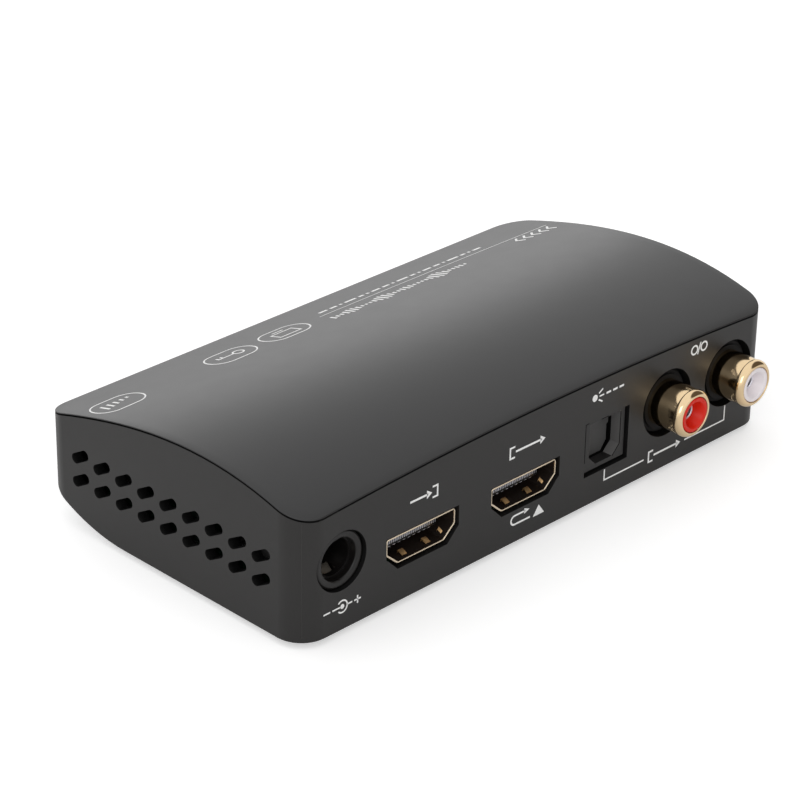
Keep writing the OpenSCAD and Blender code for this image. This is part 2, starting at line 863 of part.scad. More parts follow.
module phono_insert(x, tint) {
    front = -sleeve_out + insert_set;
    neck = lip_in_d / 2 - run_gap;
    skirt = sleeve_d / 2 - sleeve_wall - run_gap;
    hole = insert_bore_d / 2;
    seat = centre_bore_d / 2 + contact_wall + run_gap;
    color(tint) turned(x, [[funnel_d / 2, front], [neck, front], [neck, -sleeve_out + lip_t + run_gap],
        [skirt, -sleeve_out + lip_t + run_gap], [skirt, sleeve_to - run_gap], [seat, sleeve_to - run_gap],
        [seat, contact_from - run_gap], [hole, contact_from - run_gap], [hole, front + funnel_l]]);
}

module phono_contact(x) {
    bore = centre_bore_d / 2;
    color(gold) turned(x, [[bore, contact_from], [bore + contact_wall, contact_from],
        [bore + contact_wall, contact_to], [bore, contact_to]]);
}

module switch_body() {
    tall = control_z + switch_top - board_top;
    pocket = stem_in + slide_gap;
    color(steel) difference() {
        block(switch_x, case_depth - switch_from - switch_deep, board_top, [switch_w, switch_deep, tall]);
        block(switch_x, case_depth - switch_from - pocket, control_z - knob_stem_h / 2 - seat_gap,
            [stem_span, pocket + cut_over, knob_stem_h + 2 * seat_gap]);
    }
}

module switch_knob() {
    grip = knob_out + wall / 2;
    stem = knob_out + switch_from + stem_in;
    color(dark) {
        block(switch_x, case_depth + knob_out - grip, control_z - knob_h / 2, [knob_w, grip, knob_h]);
        block(switch_x, case_depth + knob_out - stem, control_z - knob_stem_h / 2,
            [knob_stem_w, stem - grip / 2, knob_stem_h]);
    }
}

module button_cap() {
    back = case_depth - cap_back;
    color(dark) {
        bar(button_x, control_z, back + run_gap, case_depth + knob_out, cap_d / 2);
        bar(button_x, control_z, back, back + cap_flange_t, cap_flange_d / 2);
    }
}

module button_plunger() {
    color(steel)
        bar(button_x, control_z, case_depth - tact_from - plunger_in, case_depth - cap_back,
            plunger_d / 2);
}

module button_body() {
    pocket = plunger_in + button_travel + slide_gap;
    color(black) difference() {
        block(button_x, case_depth - tact_from - tact_deep, board_top,
            [tact_w, tact_deep, control_z - board_top + tact_w / 2]);
        bar(button_x, control_z, case_depth - tact_from - pocket, case_depth, plunger_d / 2 + seat_gap);
    }
}

module lamp_lenses() {
    back = case_depth - lens_set - lens_l;
    color([0.75, 0.85, 0.95]) for (x = lamp_places) {
        bar(x, control_z, back, case_depth - lens_set - lens_d / 2, lens_d / 2);
        bar(x, control_z, back, back + lens_rim_t, lens_rim_d / 2);
        translate([x, from_front(lens_set + lens_d / 2), control_z]) sphere(d = lens_d);
    }
}

module lamp_holders() {
    back = lens_set + lens_l + holder_deep;
    color(black) for (x = lamp_places)
        block(x, case_depth - back, board_top,
            [holder_w, holder_deep, control_z - board_top + holder_w / 2]);
}

// A block whose middle stands at a place in the clear room, lifted above the board
module on_board(shares, size, lift = 0) {
    p = room_place(shares);
    translate([p.x - size.x / 2, p.y - size.y / 2, board_top + lift]) cube(size);
}

module signal_chip() {
    color(black) on_board(signal_chip_shares, signal_chip_size);
}

module sound_chip() {
    color(black) on_board(sound_chip_shares, sound_chip_size);
}

module control_chip() {
    color(black) on_board(control_chip_shares, control_chip_size);
}

module thermal_pad() {
    s = signal_chip_size;
    color([0.6, 0.7, 0.8]) on_board(signal_chip_shares, [s.x, s.y, thermal_pad_t], s.z);
}

module heat_sink() {
    lift = signal_chip_size.z + thermal_pad_t;
    step = (sink_size.x - sink_fin_t) / (sink_fins - 1);
    fin = [sink_fin_t, sink_size.y, sink_size.z + sink_fin_h];
    color([0.2, 0.2, 0.22]) {
        on_board(signal_chip_shares, sink_size, lift);
        for (i = [0:sink_fins - 1])
            translate([i * step - (sink_size.x - sink_fin_t) / 2, 0, 0])
                on_board(signal_chip_shares, fin, lift);
    }
}

// A bent leg: a foot on the board and a shoulder that meets the chip's side
module leg(h) {
    translate([0, -leg_w / 2, 0]) cube([leg_out, leg_w, leg_t]);
    translate([0, -leg_w / 2, 0]) cube([leg_out - leg_foot, leg_w, h / 2]);
}

module leg_row(shares, size, count, pitch, turn) {
    across = turn == 0 ? size.x : size.y;
    p = room_place(shares);
    translate([p.x, p.y, board_top])
        for (side = [0, 180])
            rotate([0, 0, side + turn])
                for (i = [0:count - 1])
                    translate([across / 2, (i - (count - 1) / 2) * pitch, 0]) leg(size.z);
}

module chip_legs() {
    signal_legs = 12;
    signal_pitch = 1;
    sound_legs = 8;
    control_legs = 8;
    fine_pitch = 0.8;
    color(steel) {
        for (turn = [0, 90]) {
            leg_row(signal_chip_shares, signal_chip_size, signal_legs, signal_pitch, turn);
            leg_row(control_chip_shares, control_chip_size, control_legs, fine_pitch, turn);
        }
        leg_row(sound_chip_shares, sound_chip_size, sound_legs, fine_pitch, 0);
    }
}

module regulator() {
    color(black) on_board(regulator_shares, regulator_size);
}

module coils() {
    color([0.3, 0.3, 0.32]) for (shares = coil_shares)
        on_board(shares, coil_size);
}

module capacitors() {
    foot_t = can_h / 8;
    color(steel) for (shares = can_shares) {
        p = room_place(shares);
        translate([p.x, p.y, board_top]) cylinder(d = can_d, h = can_h);
        on_board(shares, [can_d, can_d, foot_t]);
    }
}

module crystal() {
    s = crystal_size;
    p = room_place(crystal_shares);
    color(steel) {
        on_board(crystal_shares, [s.x - s.y, s.y, s.z]);
        for (side = [-1, 1])
            translate([p.x + side * (s.x - s.y) / 2, p.y, board_top]) cylinder(d = s.y, h = s.z);
    }
}

module small_passives() {
    color([0.7, 0.6, 0.45]) for (i = [0:passive_columns - 1])
        for (j = [0:passive_rows - 1])
            on_board(passive_shares + [i * passive_step_shares.x, j * passive_step_shares.y], passive_size);
}

red_tint = [0.82, 0.1, 0.08];
white_tint = [0.9, 0.88, 0.87];

bottom_case();
top_cover();
rubber_feet();
case_screws();
board_screws();
circuit_board();
video_shell(video_in_x);  // video_in_shell
video_tongue(video_in_x);  // video_in_tongue
video_contacts(video_in_x);  // video_in_contacts
video_shell(video_out_x);  // video_out_shell
video_tongue(video_out_x);  // video_out_tongue
video_contacts(video_out_x);  // video_out_contacts
inlet_body();
inlet_pin();
inlet_leaf();
optical_body();
optical_shutter();
optical_emitter();
phono_base(red_x);  // red_phono_base
phono_sleeve(red_x);  // red_phono_sleeve
phono_insert(red_x, red_tint);  // red_phono_insert
phono_contact(red_x);  // red_phono_contact
phono_base(white_x);  // white_phono_base
phono_sleeve(white_x);  // white_phono_sleeve
phono_insert(white_x, white_tint);  // white_phono_insert
phono_contact(white_x);  // white_phono_contact
switch_body();
switch_knob();
button_cap();
button_plunger();
button_body();
lamp_lenses();
lamp_holders();
signal_chip();
thermal_pad();
heat_sink();
sound_chip();
control_chip();
chip_legs();
regulator();
coils();
capacitors();
crystal();
small_passives();
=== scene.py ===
import json
import math

import bmesh
import bpy
from mathutils import Matrix, Vector

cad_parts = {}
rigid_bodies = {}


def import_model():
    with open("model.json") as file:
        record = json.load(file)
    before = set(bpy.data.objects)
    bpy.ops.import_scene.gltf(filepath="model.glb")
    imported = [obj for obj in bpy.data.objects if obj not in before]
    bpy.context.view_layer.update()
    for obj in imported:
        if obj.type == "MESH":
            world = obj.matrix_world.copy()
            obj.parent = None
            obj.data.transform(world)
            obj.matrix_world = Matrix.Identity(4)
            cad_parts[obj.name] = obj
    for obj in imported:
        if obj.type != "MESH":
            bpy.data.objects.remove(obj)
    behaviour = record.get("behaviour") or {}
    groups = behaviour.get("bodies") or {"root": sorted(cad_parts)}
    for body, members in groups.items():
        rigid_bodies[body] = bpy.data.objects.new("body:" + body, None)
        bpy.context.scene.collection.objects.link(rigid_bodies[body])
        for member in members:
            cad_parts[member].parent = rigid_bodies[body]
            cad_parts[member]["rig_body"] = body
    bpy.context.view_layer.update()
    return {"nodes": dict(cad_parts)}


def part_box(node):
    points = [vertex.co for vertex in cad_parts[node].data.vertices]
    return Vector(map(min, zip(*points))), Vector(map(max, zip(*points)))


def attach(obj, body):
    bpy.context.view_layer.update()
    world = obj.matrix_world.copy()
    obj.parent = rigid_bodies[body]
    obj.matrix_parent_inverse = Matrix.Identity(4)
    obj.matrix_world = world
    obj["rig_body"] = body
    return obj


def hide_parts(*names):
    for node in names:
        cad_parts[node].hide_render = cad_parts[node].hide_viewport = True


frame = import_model()

# Sizes are in millimetres, and points become metres as they enter a mesh
MM = 0.001
WELD = 0.001

# The case, read from the frame, and the shape of its arched cover
CASE_LOW, CASE_HIGH = (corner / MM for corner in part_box("bottom_case"))
LENGTH = CASE_HIGH.x - CASE_LOW.x
DEPTH = CASE_HIGH.y - CASE_LOW.y
CASE_Y = (CASE_HIGH.y + CASE_LOW.y) / 2
BASE_Z = CASE_LOW.z
CORNER_R = 5
REAR_H = 21
FRONT_H = 17.7
CROWN_RISE = 5.3
CROWN_LEAN = 1.2
REAR_BOW = 2
COVER_T = 1.8
COVER_EDGE = 0.13
COVER_INSET = 2.2
RIB_T = 1
RIB_H = 1.6
WALL_DROP = 0.8
WALL_LIFT = 0.36


def centre_of(node):
    low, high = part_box(node)
    return (low + high) / 2 / MM


def along(s):
    """X of a place s from the vented end."""
    return LENGTH / 2 - s


def inward(d):
    """Y of a place d inward from the port face."""
    return CASE_Y + DEPTH / 2 - d


AXIS_Z = centre_of("red_phono_sleeve").z
RED_X = centre_of("red_phono_sleeve").x
WHITE_X = centre_of("white_phono_sleeve").x
INLET_X = centre_of("inlet_body").x
OPTICAL_X = centre_of("optical_body").x
VIDEO_X = {"video_in": centre_of("video_in_shell").x, "video_out": centre_of("video_out_shell").x}
BOARD_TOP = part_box("circuit_board")[1].z / MM


def crown_z(x, y):
    """Height of the cover's top at a point of the plan."""
    t = 0.5 - (y - CASE_Y) / DEPTH
    u = 2 * x / LENGTH
    arch = CROWN_RISE + CROWN_LEAN * (1 - 2 * t)
    return (BASE_Z + REAR_H + (FRONT_H - REAR_H) * t + 4 * t * (1 - t) * arch
            + REAR_BOW * (1 - t) * (1 - u * u))


# Materials


def shader(name):
    material = bpy.data.materials.new(name)
    material.use_nodes = True
    nodes = material.node_tree.nodes
    return material, nodes, material.node_tree.links, nodes["Principled BSDF"]


def noise(nodes, links, scale, detail=3.0, stretch=(1, 1, 1)):
    """Noise in the row frame's metres, so that scale is in cells a metre."""
    place = nodes.new("ShaderNodeTexCoord")
    mapping = nodes.new("ShaderNodeMapping")
    mapping.inputs["Scale"].default_value = stretch
    texture = nodes.new("ShaderNodeTexNoise")
    texture.inputs["Scale"].default_value = scale
    texture.inputs["Detail"].default_value = detail
    links.new(place.outputs["Object"], mapping.inputs["Vector"])
    links.new(mapping.outputs["Vector"], texture.inputs["Vector"])
    return texture.outputs["Fac"]


def ramp(nodes, links, value, low, high, start=0.3, stop=0.7):
    """Two colours, or two grey levels, spread over a value."""
    node = nodes.new("ShaderNodeValToRGB")
    node.color_ramp.elements[0].position = start
    node.color_ramp.elements[1].position = stop
    node.color_ramp.elements[0].color = (*low, 1) if len(low) == 3 else low
    node.color_ramp.elements[1].color = (*high, 1) if len(high) == 3 else high
    links.new(value, node.inputs["Fac"])
    return node.outputs["Color"]


def bump(nodes, links, height, bsdf, strength, distance):
    node = nodes.new("ShaderNodeBump")
    node.inputs["Strength"].default_value = strength
    node.inputs["Distance"].default_value = distance
    links.new(height, node.inputs["Height"])
    links.new(node.outputs["Normal"], bsdf.inputs["Normal"])


def moulded(name, colour, roughness, grain=5200, depth=0.000012, spread=0.05, specular=0.5):
    """Moulded plastic: a fine spark-eroded grain, with slight changes of colour and gloss."""
    material, nodes, links, bsdf = shader(name)
    swing = 1.4 * spread
    low = [c * (1 - swing) for c in colour]
    high = [c * (1 + swing) for c in colour]
    patches = noise(nodes, links, 90, 4)
    links.new(ramp(nodes, links, patches, low, high), bsdf.inputs["Base Color"])
    smudges = noise(nodes, links, 260, 2)
    rough = [roughness * (1 - spread)] * 3, [roughness * (1 + spread)] * 3
    links.new(ramp(nodes, links, smudges, *rough), bsdf.inputs["Roughness"])
    bsdf.inputs["Specular IOR Level"].default_value = specular
    bump(nodes, links, noise(nodes, links, grain, 2), bsdf, 0.5, depth)
    return material


def plated(name, colour, roughness, scale=900, stretch=(1, 1, 1), depth=0.000004, spread=0.08):
    """Plated metal with faint drawing or rolling marks along one direction."""
    material, nodes, links, bsdf = shader(name)
    bsdf.inputs["Metallic"].default_value = 1
    tarnish = noise(nodes, links, 420, 4)
    low = [c * (1 - spread) for c in colour]
    links.new(ramp(nodes, links, tarnish, low, colour), bsdf.inputs["Base Color"])
    marks = noise(nodes, links, scale, 3, stretch)
    rough = [roughness * 0.8] * 3, [roughness * 1.25] * 3
    links.new(ramp(nodes, links, marks, *rough), bsdf.inputs["Roughness"])
    bump(nodes, links, marks, bsdf, 0.35, depth)
    return material


def printed(name, colour):
    """Screen-printed ink: nearly flat, a little uneven in density."""
    material, nodes, links, bsdf = shader(name)
    density = noise(nodes, links, 2600, 3)
    low = [c * 0.86 for c in colour]
    links.new(ramp(nodes, links, density, low, colour, 0.25, 0.6), bsdf.inputs["Base Color"])
    bsdf.inputs["Roughness"].default_value = 0.55
    bump(nodes, links, density, bsdf, 0.2, 0.000004)
    return material


def clear(name, tint):
    """Clear moulded lens with a faint ripple."""
    material, nodes, links, bsdf = shader(name)
    bsdf.inputs["Transmission Weight"].default_value = 0.85
    bsdf.inputs["IOR"].default_value = 1.49
    haze = noise(nodes, links, 700, 2)
    links.new(ramp(nodes, links, haze, [0.1] * 3, [0.2] * 3), bsdf.inputs["Roughness"])
    low = [c * 0.92 for c in tint]
    links.new(ramp(nodes, links, haze, low, tint), bsdf.inputs["Base Color"])
    return material


CASE = moulded("case_plastic_satin", (0.0145, 0.0135, 0.013), 0.4, spread=0.03, specular=0.46)
# painted highlight: the parting line's plastic is lighter than the case's, for the light its ridge
# catches
PARTING_HIGHLIGHT = moulded("case_parting_line_painted_highlight", (0.03, 0.029, 0.028), 0.4)
# painted shade: near-black plastic for the case's inner faces, slots, cut-outs and the wall top under the
# seam
CASE_PAINTED_SHADE = moulded("case_plastic_painted_shade", (0.005, 0.005, 0.005), 0.6, specular=0.2)
COVER = moulded("cover_plastic_satin", (0.0165, 0.0165, 0.017), 0.38, grain=6000, spread=0.02)
SOCKET = moulded("socket_plastic_black", (0.006, 0.0052, 0.005), 0.34, depth=0.000006, specular=0.42)
OPTICAL = moulded("optical_plastic_charcoal", (0.014, 0.0132, 0.013), 0.42, depth=0.000006)
# painted light: the opening's walls are made far lighter than the moulding, against the shade of the
# recess
RECESS_PAINTED_LIGHT = moulded("optical_recess_painted_light", (0.13, 0.127, 0.125), 0.5, depth=0.000006, specular=0.35)
BASE = moulded("phono_base_matte_black", (0.0065, 0.006, 0.006), 0.6, specular=0.14)
# painted shade: black for the opening's deep part and for thin shade lines along edges
PAINTED_SHADE_BLACK = moulded("optical_painted_shade_black", (0.002, 0.002, 0.002), 0.7, depth=0.000004, specular=0.1)
# painted light: the shutter's plastic is made far lighter than the socket's, against the shade of its
# recess
SHUTTER_PAINTED_LIGHT = moulded("shutter_plastic_painted_light", (0.07, 0.069, 0.068), 0.5, depth=0.000006, specular=0.3)
# painted shade: a dark non-metal in place of plating, on the inside of the video shells
SHELL_PAINTED_SHADE = moulded("shell_painted_shade", (0.012, 0.008, 0.006), 0.35, depth=0.000006, specular=0.4)
RUBBER = moulded("rubber_black", (0.02, 0.02, 0.02), 0.75, grain=3200, depth=0.00003, specular=0.3)
CHIP = moulded("chip_epoxy", (0.022, 0.022, 0.023), 0.6, grain=4200, depth=0.00001)
RED = moulded("insert_red", (0.72, 0.02, 0.007), 0.3, depth=0.000003, spread=0.03, specular=0.25)
WHITE = moulded("insert_white", (0.92, 0.86, 0.88), 0.3, depth=0.000003, spread=0.02, specular=0.35)
PAD = moulded("thermal_pad_blue_grey", (0.3, 0.36, 0.42), 0.8, grain=2600, depth=0.00002)
SINK = moulded("anodised_black", (0.02, 0.02, 0.022), 0.45, grain=3000, depth=0.000008)
FERRITE = moulded("coil_ferrite", (0.05, 0.05, 0.052), 0.65, grain=2400, depth=0.00002)
CERAMIC = moulded("chip_ceramic", (0.38, 0.27, 0.15), 0.4, depth=0.000006)
BOARD = moulded("board_green_mask", (0.004, 0.024, 0.011), 0.3, grain=1500, depth=0.00001)
GOLD = plated("gold_plate_bright", (0.97, 0.75, 0.46), 0.13)
SLEEVE_GOLD = plated("gold_plate_sleeve", (0.88, 0.67, 0.41), 0.11)
PALE_GOLD = plated("gold_plate_pale", (0.9, 0.76, 0.58), 0.24)
STEEL = plated("nickel_plate", (0.6, 0.58, 0.55), 0.28)
SPRING = plated("spring_gold_satin", (0.86, 0.56, 0.27), 0.5)
# painted shade: the inlet's spring leaf is darker than bare metal, for the shade deep in the bore
LEAF_PAINTED_SHADE = plated("spring_bronze_painted_shade", (0.24, 0.22, 0.19), 0.3)
CONTACT = plated("contact_tin", (0.84, 0.84, 0.9), 0.42)
CAN = plated("aluminium_can", (0.72, 0.72, 0.73), 0.3, 500, (1, 1, 12))
INK = printed("print_white", (0.98, 0.98, 0.97))
LENS = clear("lamp_lens_clear", (0.86, 0.9, 0.94))


# Mesh helpers


def point(x, y, z):
    return Vector((x, y, z)) * MM


def finish_piece(name, mesh_data, body, material, replaced=(), sharp=35, inner=None):
    """Turns a bmesh into a piece that rides on a body; faces of index 1 take the inner material."""
    bmesh.ops.recalc_face_normals(mesh_data, faces=mesh_data.faces)
    mesh = bpy.data.meshes.new(name)
    mesh_data.to_mesh(mesh)
    mesh_data.free()
    for polygon in mesh.polygons:
        polygon.use_smooth = True
    mesh.set_sharp_from_angle(angle=math.radians(sharp))
    mesh.materials.append(material)
    if inner:
        mesh.materials.append(inner)
    piece = bpy.data.objects.new(name, mesh)
    bpy.context.scene.collection.objects.link(piece)
    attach(piece, body)
    if replaced:
        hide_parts(*replaced)
    return piece


def loft(mesh, loops, closed=True, dark=()):
    """Quads between rings of equal count.

    closed joins the last ring to the first, and the spans listed in dark get material index 1.
    """
    rings = [[mesh.verts.new(p) for p in loop] for loop in loops]
    pairs = list(zip(rings, rings[1:] + rings[:1])) if closed else list(zip(rings, rings[1:]))
    for span, (a, b) in enumerate(pairs):
        for i in range(len(a)):
            j = (i + 1) % len(a)
            mesh.faces.new((a[i], a[j], b[j], b[i])).material_index = int(span in dark)
    return rings


def capped(mesh, loops):
    rings = loft(mesh, loops, closed=False)
    mesh.faces.new(rings[0])
    mesh.faces.new(rings[-1])


def block(mesh, x, y, z):
    """A box from three spans."""
    ring = [(x[0], y[0]), (x[1], y[0]), (x[1], y[1]), (x[0], y[1])]
    capped(mesh, [[point(a, b, h) for a, b in ring] for h in z])


def takes_painted_shade(centre, normal):
    """True for a face of the case that isn't on its outside: within the walls, a slot, a cut-out and the
    wall's top under the seam; these faces take a near-black plastic that is painted shade.
    """
    skin = 0.35
    underside_top = 9
    qx = max(0, abs(centre.x) - (LENGTH / 2 - CORNER_R))
    qy = max(0, abs(centre.y - CASE_Y) - (DEPTH / 2 - CORNER_R))
    underside = normal.z < -0.35 and centre.z < underside_top
    return math.hypot(qx, qy) < CORNER_R - skin and not underside


def with_modifier(piece, kind, **settings):
    """Adds a modifier and takes its result as the piece's mesh."""
    modifier = piece.modifiers.new(kind.lower(), kind)
    for key, value in settings.items():
        setattr(modifier, key, value)
    graph = bpy.context.evaluated_depsgraph_get()
    result = bpy.data.meshes.new_from_object(piece.evaluated_get(graph))
    piece.modifiers.clear()
    piece.data = result
    return result


def soft_copy(node, name, material, width, segments=2, others=(), pick=None, move=None, cut=None):
    """The node's own shape with its hard edges rounded, as a piece that stands for it.

    pick tells which of the materials a face takes, from its middle and its normal; move shifts the
    copy's corners; cut parts the faces at that depth from the port face.
    """
    hard = math.radians(32)
    source = frame["nodes"][node]
    work = bmesh.new()
    work.from_mesh(source.data)
    bmesh.ops.remove_doubles(work, verts=work.verts, dist=WELD / 2 * MM)
    flat = math.radians(0.2)
    bmesh.ops.dissolve_limit(work, angle_limit=flat, verts=work.verts, edges=work.edges)
    if cut:
        parts = work.verts[:] + work.edges[:] + work.faces[:]
        bmesh.ops.bisect_plane(work, geom=parts, plane_co=point(0, inward(cut), 0), plane_no=(0, 1, 0))
    if move:
        for vertex in work.verts:
            vertex.co = move(vertex.co / MM) * MM
    mesh = bpy.data.meshes.new(name)
    work.to_mesh(mesh)
    work.free()
    piece = bpy.data.objects.new(name, mesh)
    bpy.context.scene.collection.objects.link(piece)
    rounded = with_modifier(piece, "BEVEL", width=width * MM, segments=segments, limit_method="ANGLE",
                            angle_limit=hard, use_clamp_overlap=True)
    for polygon in rounded.polygons:
        polygon.use_smooth = True
    rounded.set_sharp_from_angle(angle=hard)
    rounded = with_modifier(piece, "WEIGHTED_NORMAL", keep_sharp=True, weight=80)
    rounded.name = name + "_mesh"
    rounded.materials.clear()
    rounded.materials.append(material)
    for other in others:
        rounded.materials.append(other)
    if pick:
        for polygon in rounded.polygons:
            polygon.material_index = int(pick(polygon.center / MM, polygon.normal))
    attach(piece, source["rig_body"])
    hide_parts(node)
    return piece


# Arched cover


def plan_outline(inset, step=2.4, corner_steps=12):
    """Points round the case's plan, drawn in by inset, the same count for each inset."""
    radius = CORNER_R - inset
    half = Vector((LENGTH / 2 - CORNER_R, DEPTH / 2 - CORNER_R))
    corners = [(1, 1, 0), (-1, 1, 90), (-1, -1, 180), (1, -1, 270)]
    points = []
    for index, (sx, sy, turn) in enumerate(corners):
        for k in range(corner_steps + 1):
            a = math.radians(turn + 90 * k / corner_steps)
            points.append((sx * half.x + radius * math.cos(a), sy * half.y + radius * math.sin(a)))
        side = 2 * half.x if index % 2 == 0 else 2 * half.y
        count = round(side / step)
        last = points[-1]
        nx, ny, turn = corners[(index + 1) % 4]
        a = math.radians(turn)
        goal = (nx * half.x + radius * math.cos(a), ny * half.y + radius * math.sin(a))
        for k in range(1, count):
            f = k / count
            points.append((last[0] + (goal[0] - last[0]) * f, last[1] + (goal[1] - last[1]) * f))
    return points


def cover_ring(inset, drop):
    return [point(x, CASE_Y + y, crown_z(x, CASE_Y + y) - drop) for x, y in plan_outline(inset)]


def shrunk_ring(inset, share, drop):
    """A ring drawn in toward the plan's middle line, share 0, from the outline, share 1."""
    ring = []
    spine = LENGTH / 2 - DEPTH / 2
    for x, y in plan_outline(inset):
        middle = max(-spine, min(spine, x))
        px = middle + (x - middle) * share
        py = CASE_Y + y * share
        ring.append(point(px, py, crown_z(px, py) - drop))
    return ring


def cover():
    edge_r = 0.11
    turns = 5
    rings = 20
    work = bmesh.new()
    loops = [shrunk_ring(edge_r, k / rings, 0) for k in range(rings)]
    for k in range(turns + 1):
        a = math.radians(90 * k / turns)
        loops.append(cover_ring(edge_r * (1 - math.sin(a)), edge_r * (1 - math.cos(a))))
    loops.append(cover_ring(0, COVER_EDGE))
    loops.append(cover_ring(COVER_INSET, COVER_EDGE))
    loops.append(cover_ring(COVER_INSET, COVER_T + RIB_H))
    loops.append(cover_ring(COVER_INSET + RIB_T, COVER_T + RIB_H))
    inner = COVER_INSET + RIB_T
    loops.append(cover_ring(inner, COVER_T))
    loops += [shrunk_ring(inner, k / rings, COVER_T) for k in range(rings - 1, -1, -1)]
    loft(work, loops, closed=False)
    bmesh.ops.remove_doubles(work, verts=work.verts, dist=WELD * MM)
    bmesh.ops.dissolve_degenerate(work, edges=work.edges, dist=WELD * MM)
    return finish_piece("cover_plate", work, "box", COVER, ["top_cover"])


cover()

# Case and the small mouldings, with their edges rounded


def raised_wall(p):
    """Lifts the wall's top edge, so that the dark seam, a real gap whose wall top takes painted shade,
    lies right under the cover's surface.
    """
    off = p.z - (crown_z(p.x, p.y) - WALL_DROP)
    return p + Vector((0, 0, WALL_LIFT)) if abs(off) < 0.1 else p


def depth_of(p):
    return inward(0) - p.y


# The inlet's nose, as it is dressed
NOSE_R = 4.86
NOSE_FRONT = 0.7
NOSE_MOUTH_R = 3.6
NOSE_MOUTH_END = 2


def sunk_nose(p):
    """Sets the inlet's nose a little deeper, with a wider mouth that steps down to the bore."""
    nose_end, nose_reach = 1.3, 5
    rim_from, face_from, mouth_from = 4.6, 3.9, 3.35
    d = depth_of(p)
    away = Vector((p.x - INLET_X, p.z - AXIS_Z))
    r = away.length
    if d > nose_end or r > nose_reach:
        return p
    if r > rim_from:
        r, d = NOSE_R, max(d, NOSE_FRONT)
    elif r > face_from:
        r, d = NOSE_MOUTH_R + 0.04, NOSE_FRONT + 0.3
    elif r > mouth_from:
        r, d = NOSE_MOUTH_R, NOSE_MOUTH_END
    else:
        d = NOSE_MOUTH_END
    away = away.normalized() * r
    return Vector((INLET_X + away.x, inward(d), AXIS_Z + away.y))


def deep_pin(p):
    """Sets the tip of the inlet's pin deeper in the bore."""
    tip_end, sunk = 4.5, 2.6
    d = depth_of(p)
    return Vector((p.x, inward(d + sunk), p.z)) if d < tip_end else p


# The optical socket's plug opening, and the depth past which its walls take painted shade, a black
# material
OPENING_W = 7.5
OPENING_LOW = BASE_Z + 6.75
OPENING_HIGH = BASE_Z + 14.55
OPTICAL_FRONT = 0.5
WALL_SPLIT = 2.45


def optical_face(centre, normal):
    """0 for the moulding's outside and the opening's floor, 1 for its walls, in a lighter plastic that is
    painted light against their shade, 2 for its deeper part, in black that is painted shade.
    """
    margin = 0.22
    d = depth_of(centre)
    inside = abs(centre.x - OPTICAL_X) < OPENING_W / 2 + margin
    inside = inside and OPENING_LOW - margin < centre.z < OPENING_HIGH + margin
    if not inside or d < OPTICAL_FRONT or (normal.y > 0.95 and d < 1):
        return 0
    if d > WALL_SPLIT:
        return 2
    return 0 if normal.z > 0.9 else 1


soft_copy("bottom_case", "case_moulding", CASE, 0.2, others=[CASE_PAINTED_SHADE],
          pick=takes_painted_shade, move=raised_wall)
soft_copy("inlet_body", "inlet_moulding", SOCKET, 0.22, 3, move=sunk_nose)
soft_copy("inlet_pin", "inlet_centre_pin", STEEL, 0.15, move=deep_pin)
soft_copy("inlet_leaf", "inlet_spring_leaf", LEAF_PAINTED_SHADE, 0.05)
soft_copy("optical_body", "optical_moulding", OPTICAL, 0.18, others=[RECESS_PAINTED_LIGHT, PAINTED_SHADE_BLACK],
          pick=optical_face, cut=WALL_SPLIT)
soft_copy("red_phono_base", "red_base_moulding", BASE, 0.2)
soft_copy("white_phono_base", "white_base_moulding", BASE, 0.2)
soft_copy("switch_knob", "slider_knob", SOCKET, 0.2)
soft_copy("button_cap", "push_cap", SOCKET, 0.3, 3)
soft_copy("rubber_feet", "feet_pads", RUBBER, 0.3, 3)
soft_copy("case_screws", "case_screw_heads", STEEL, 0.15)
soft_copy("lamp_lenses", "lamp_domes", LENS, 0.1)


def flap():
    """Shutter: wide at the hinge, narrower below, with its lower corners cut to suit the plug."""
    top = BASE_Z + 14.9
    shoulder = BASE_Z + 11.9
    knee = BASE_Z + 8.6
    low = BASE_Z + 6.95
    wide = 3.4
    left, right = -3.0, 3.15
    foot_left, foot_right = -1.75, 1.9
    slope = 0.25
    front, back = 2.72, 3.5
    edge = 0.1
    outline = [(-wide, top), (-wide, shoulder), (left, shoulder - slope), (left, knee), (foot_left, low),
               (foot_right, low), (right, knee), (right, shoulder - slope), (wide, shoulder), (wide, top)]
    centre = Vector((0, (top + low) / 2))
    work = bmesh.new()
    loops = []
    for shrink, d in ((edge, front), (0, front + edge), (0, back - edge), (edge, back)):
        ring = []
        for px, pz in outline:
            pull = centre - Vector((px, pz))
            step = Vector((math.copysign(min(abs(pull.x), shrink), pull.x),
                           math.copysign(min(abs(pull.y), shrink), pull.y)))
            ring.append(point(OPTICAL_X + px + step.x, inward(d), pz + step.y))
        loops.append(ring)
    capped(work, loops)
    pivot_r, pivot_d = 0.45, 3.1
    sides = 12
    for side in (-1, 1):
        pivot = []
        for px in (side * (wide - 0.05), side * (wide + 0.2)):
            turns = [2 * math.pi * k / sides for k in range(sides)]
            pivot.append([point(OPTICAL_X + px, inward(pivot_d) + pivot_r * math.cos(a),
                                top + 0.1 + pivot_r * math.sin(a)) for a in turns])
        capped(work, pivot)
    finish_piece("shutter_flap", work, "shutter", SHUTTER_PAINTED_LIGHT, ["optical_shutter"])


flap()


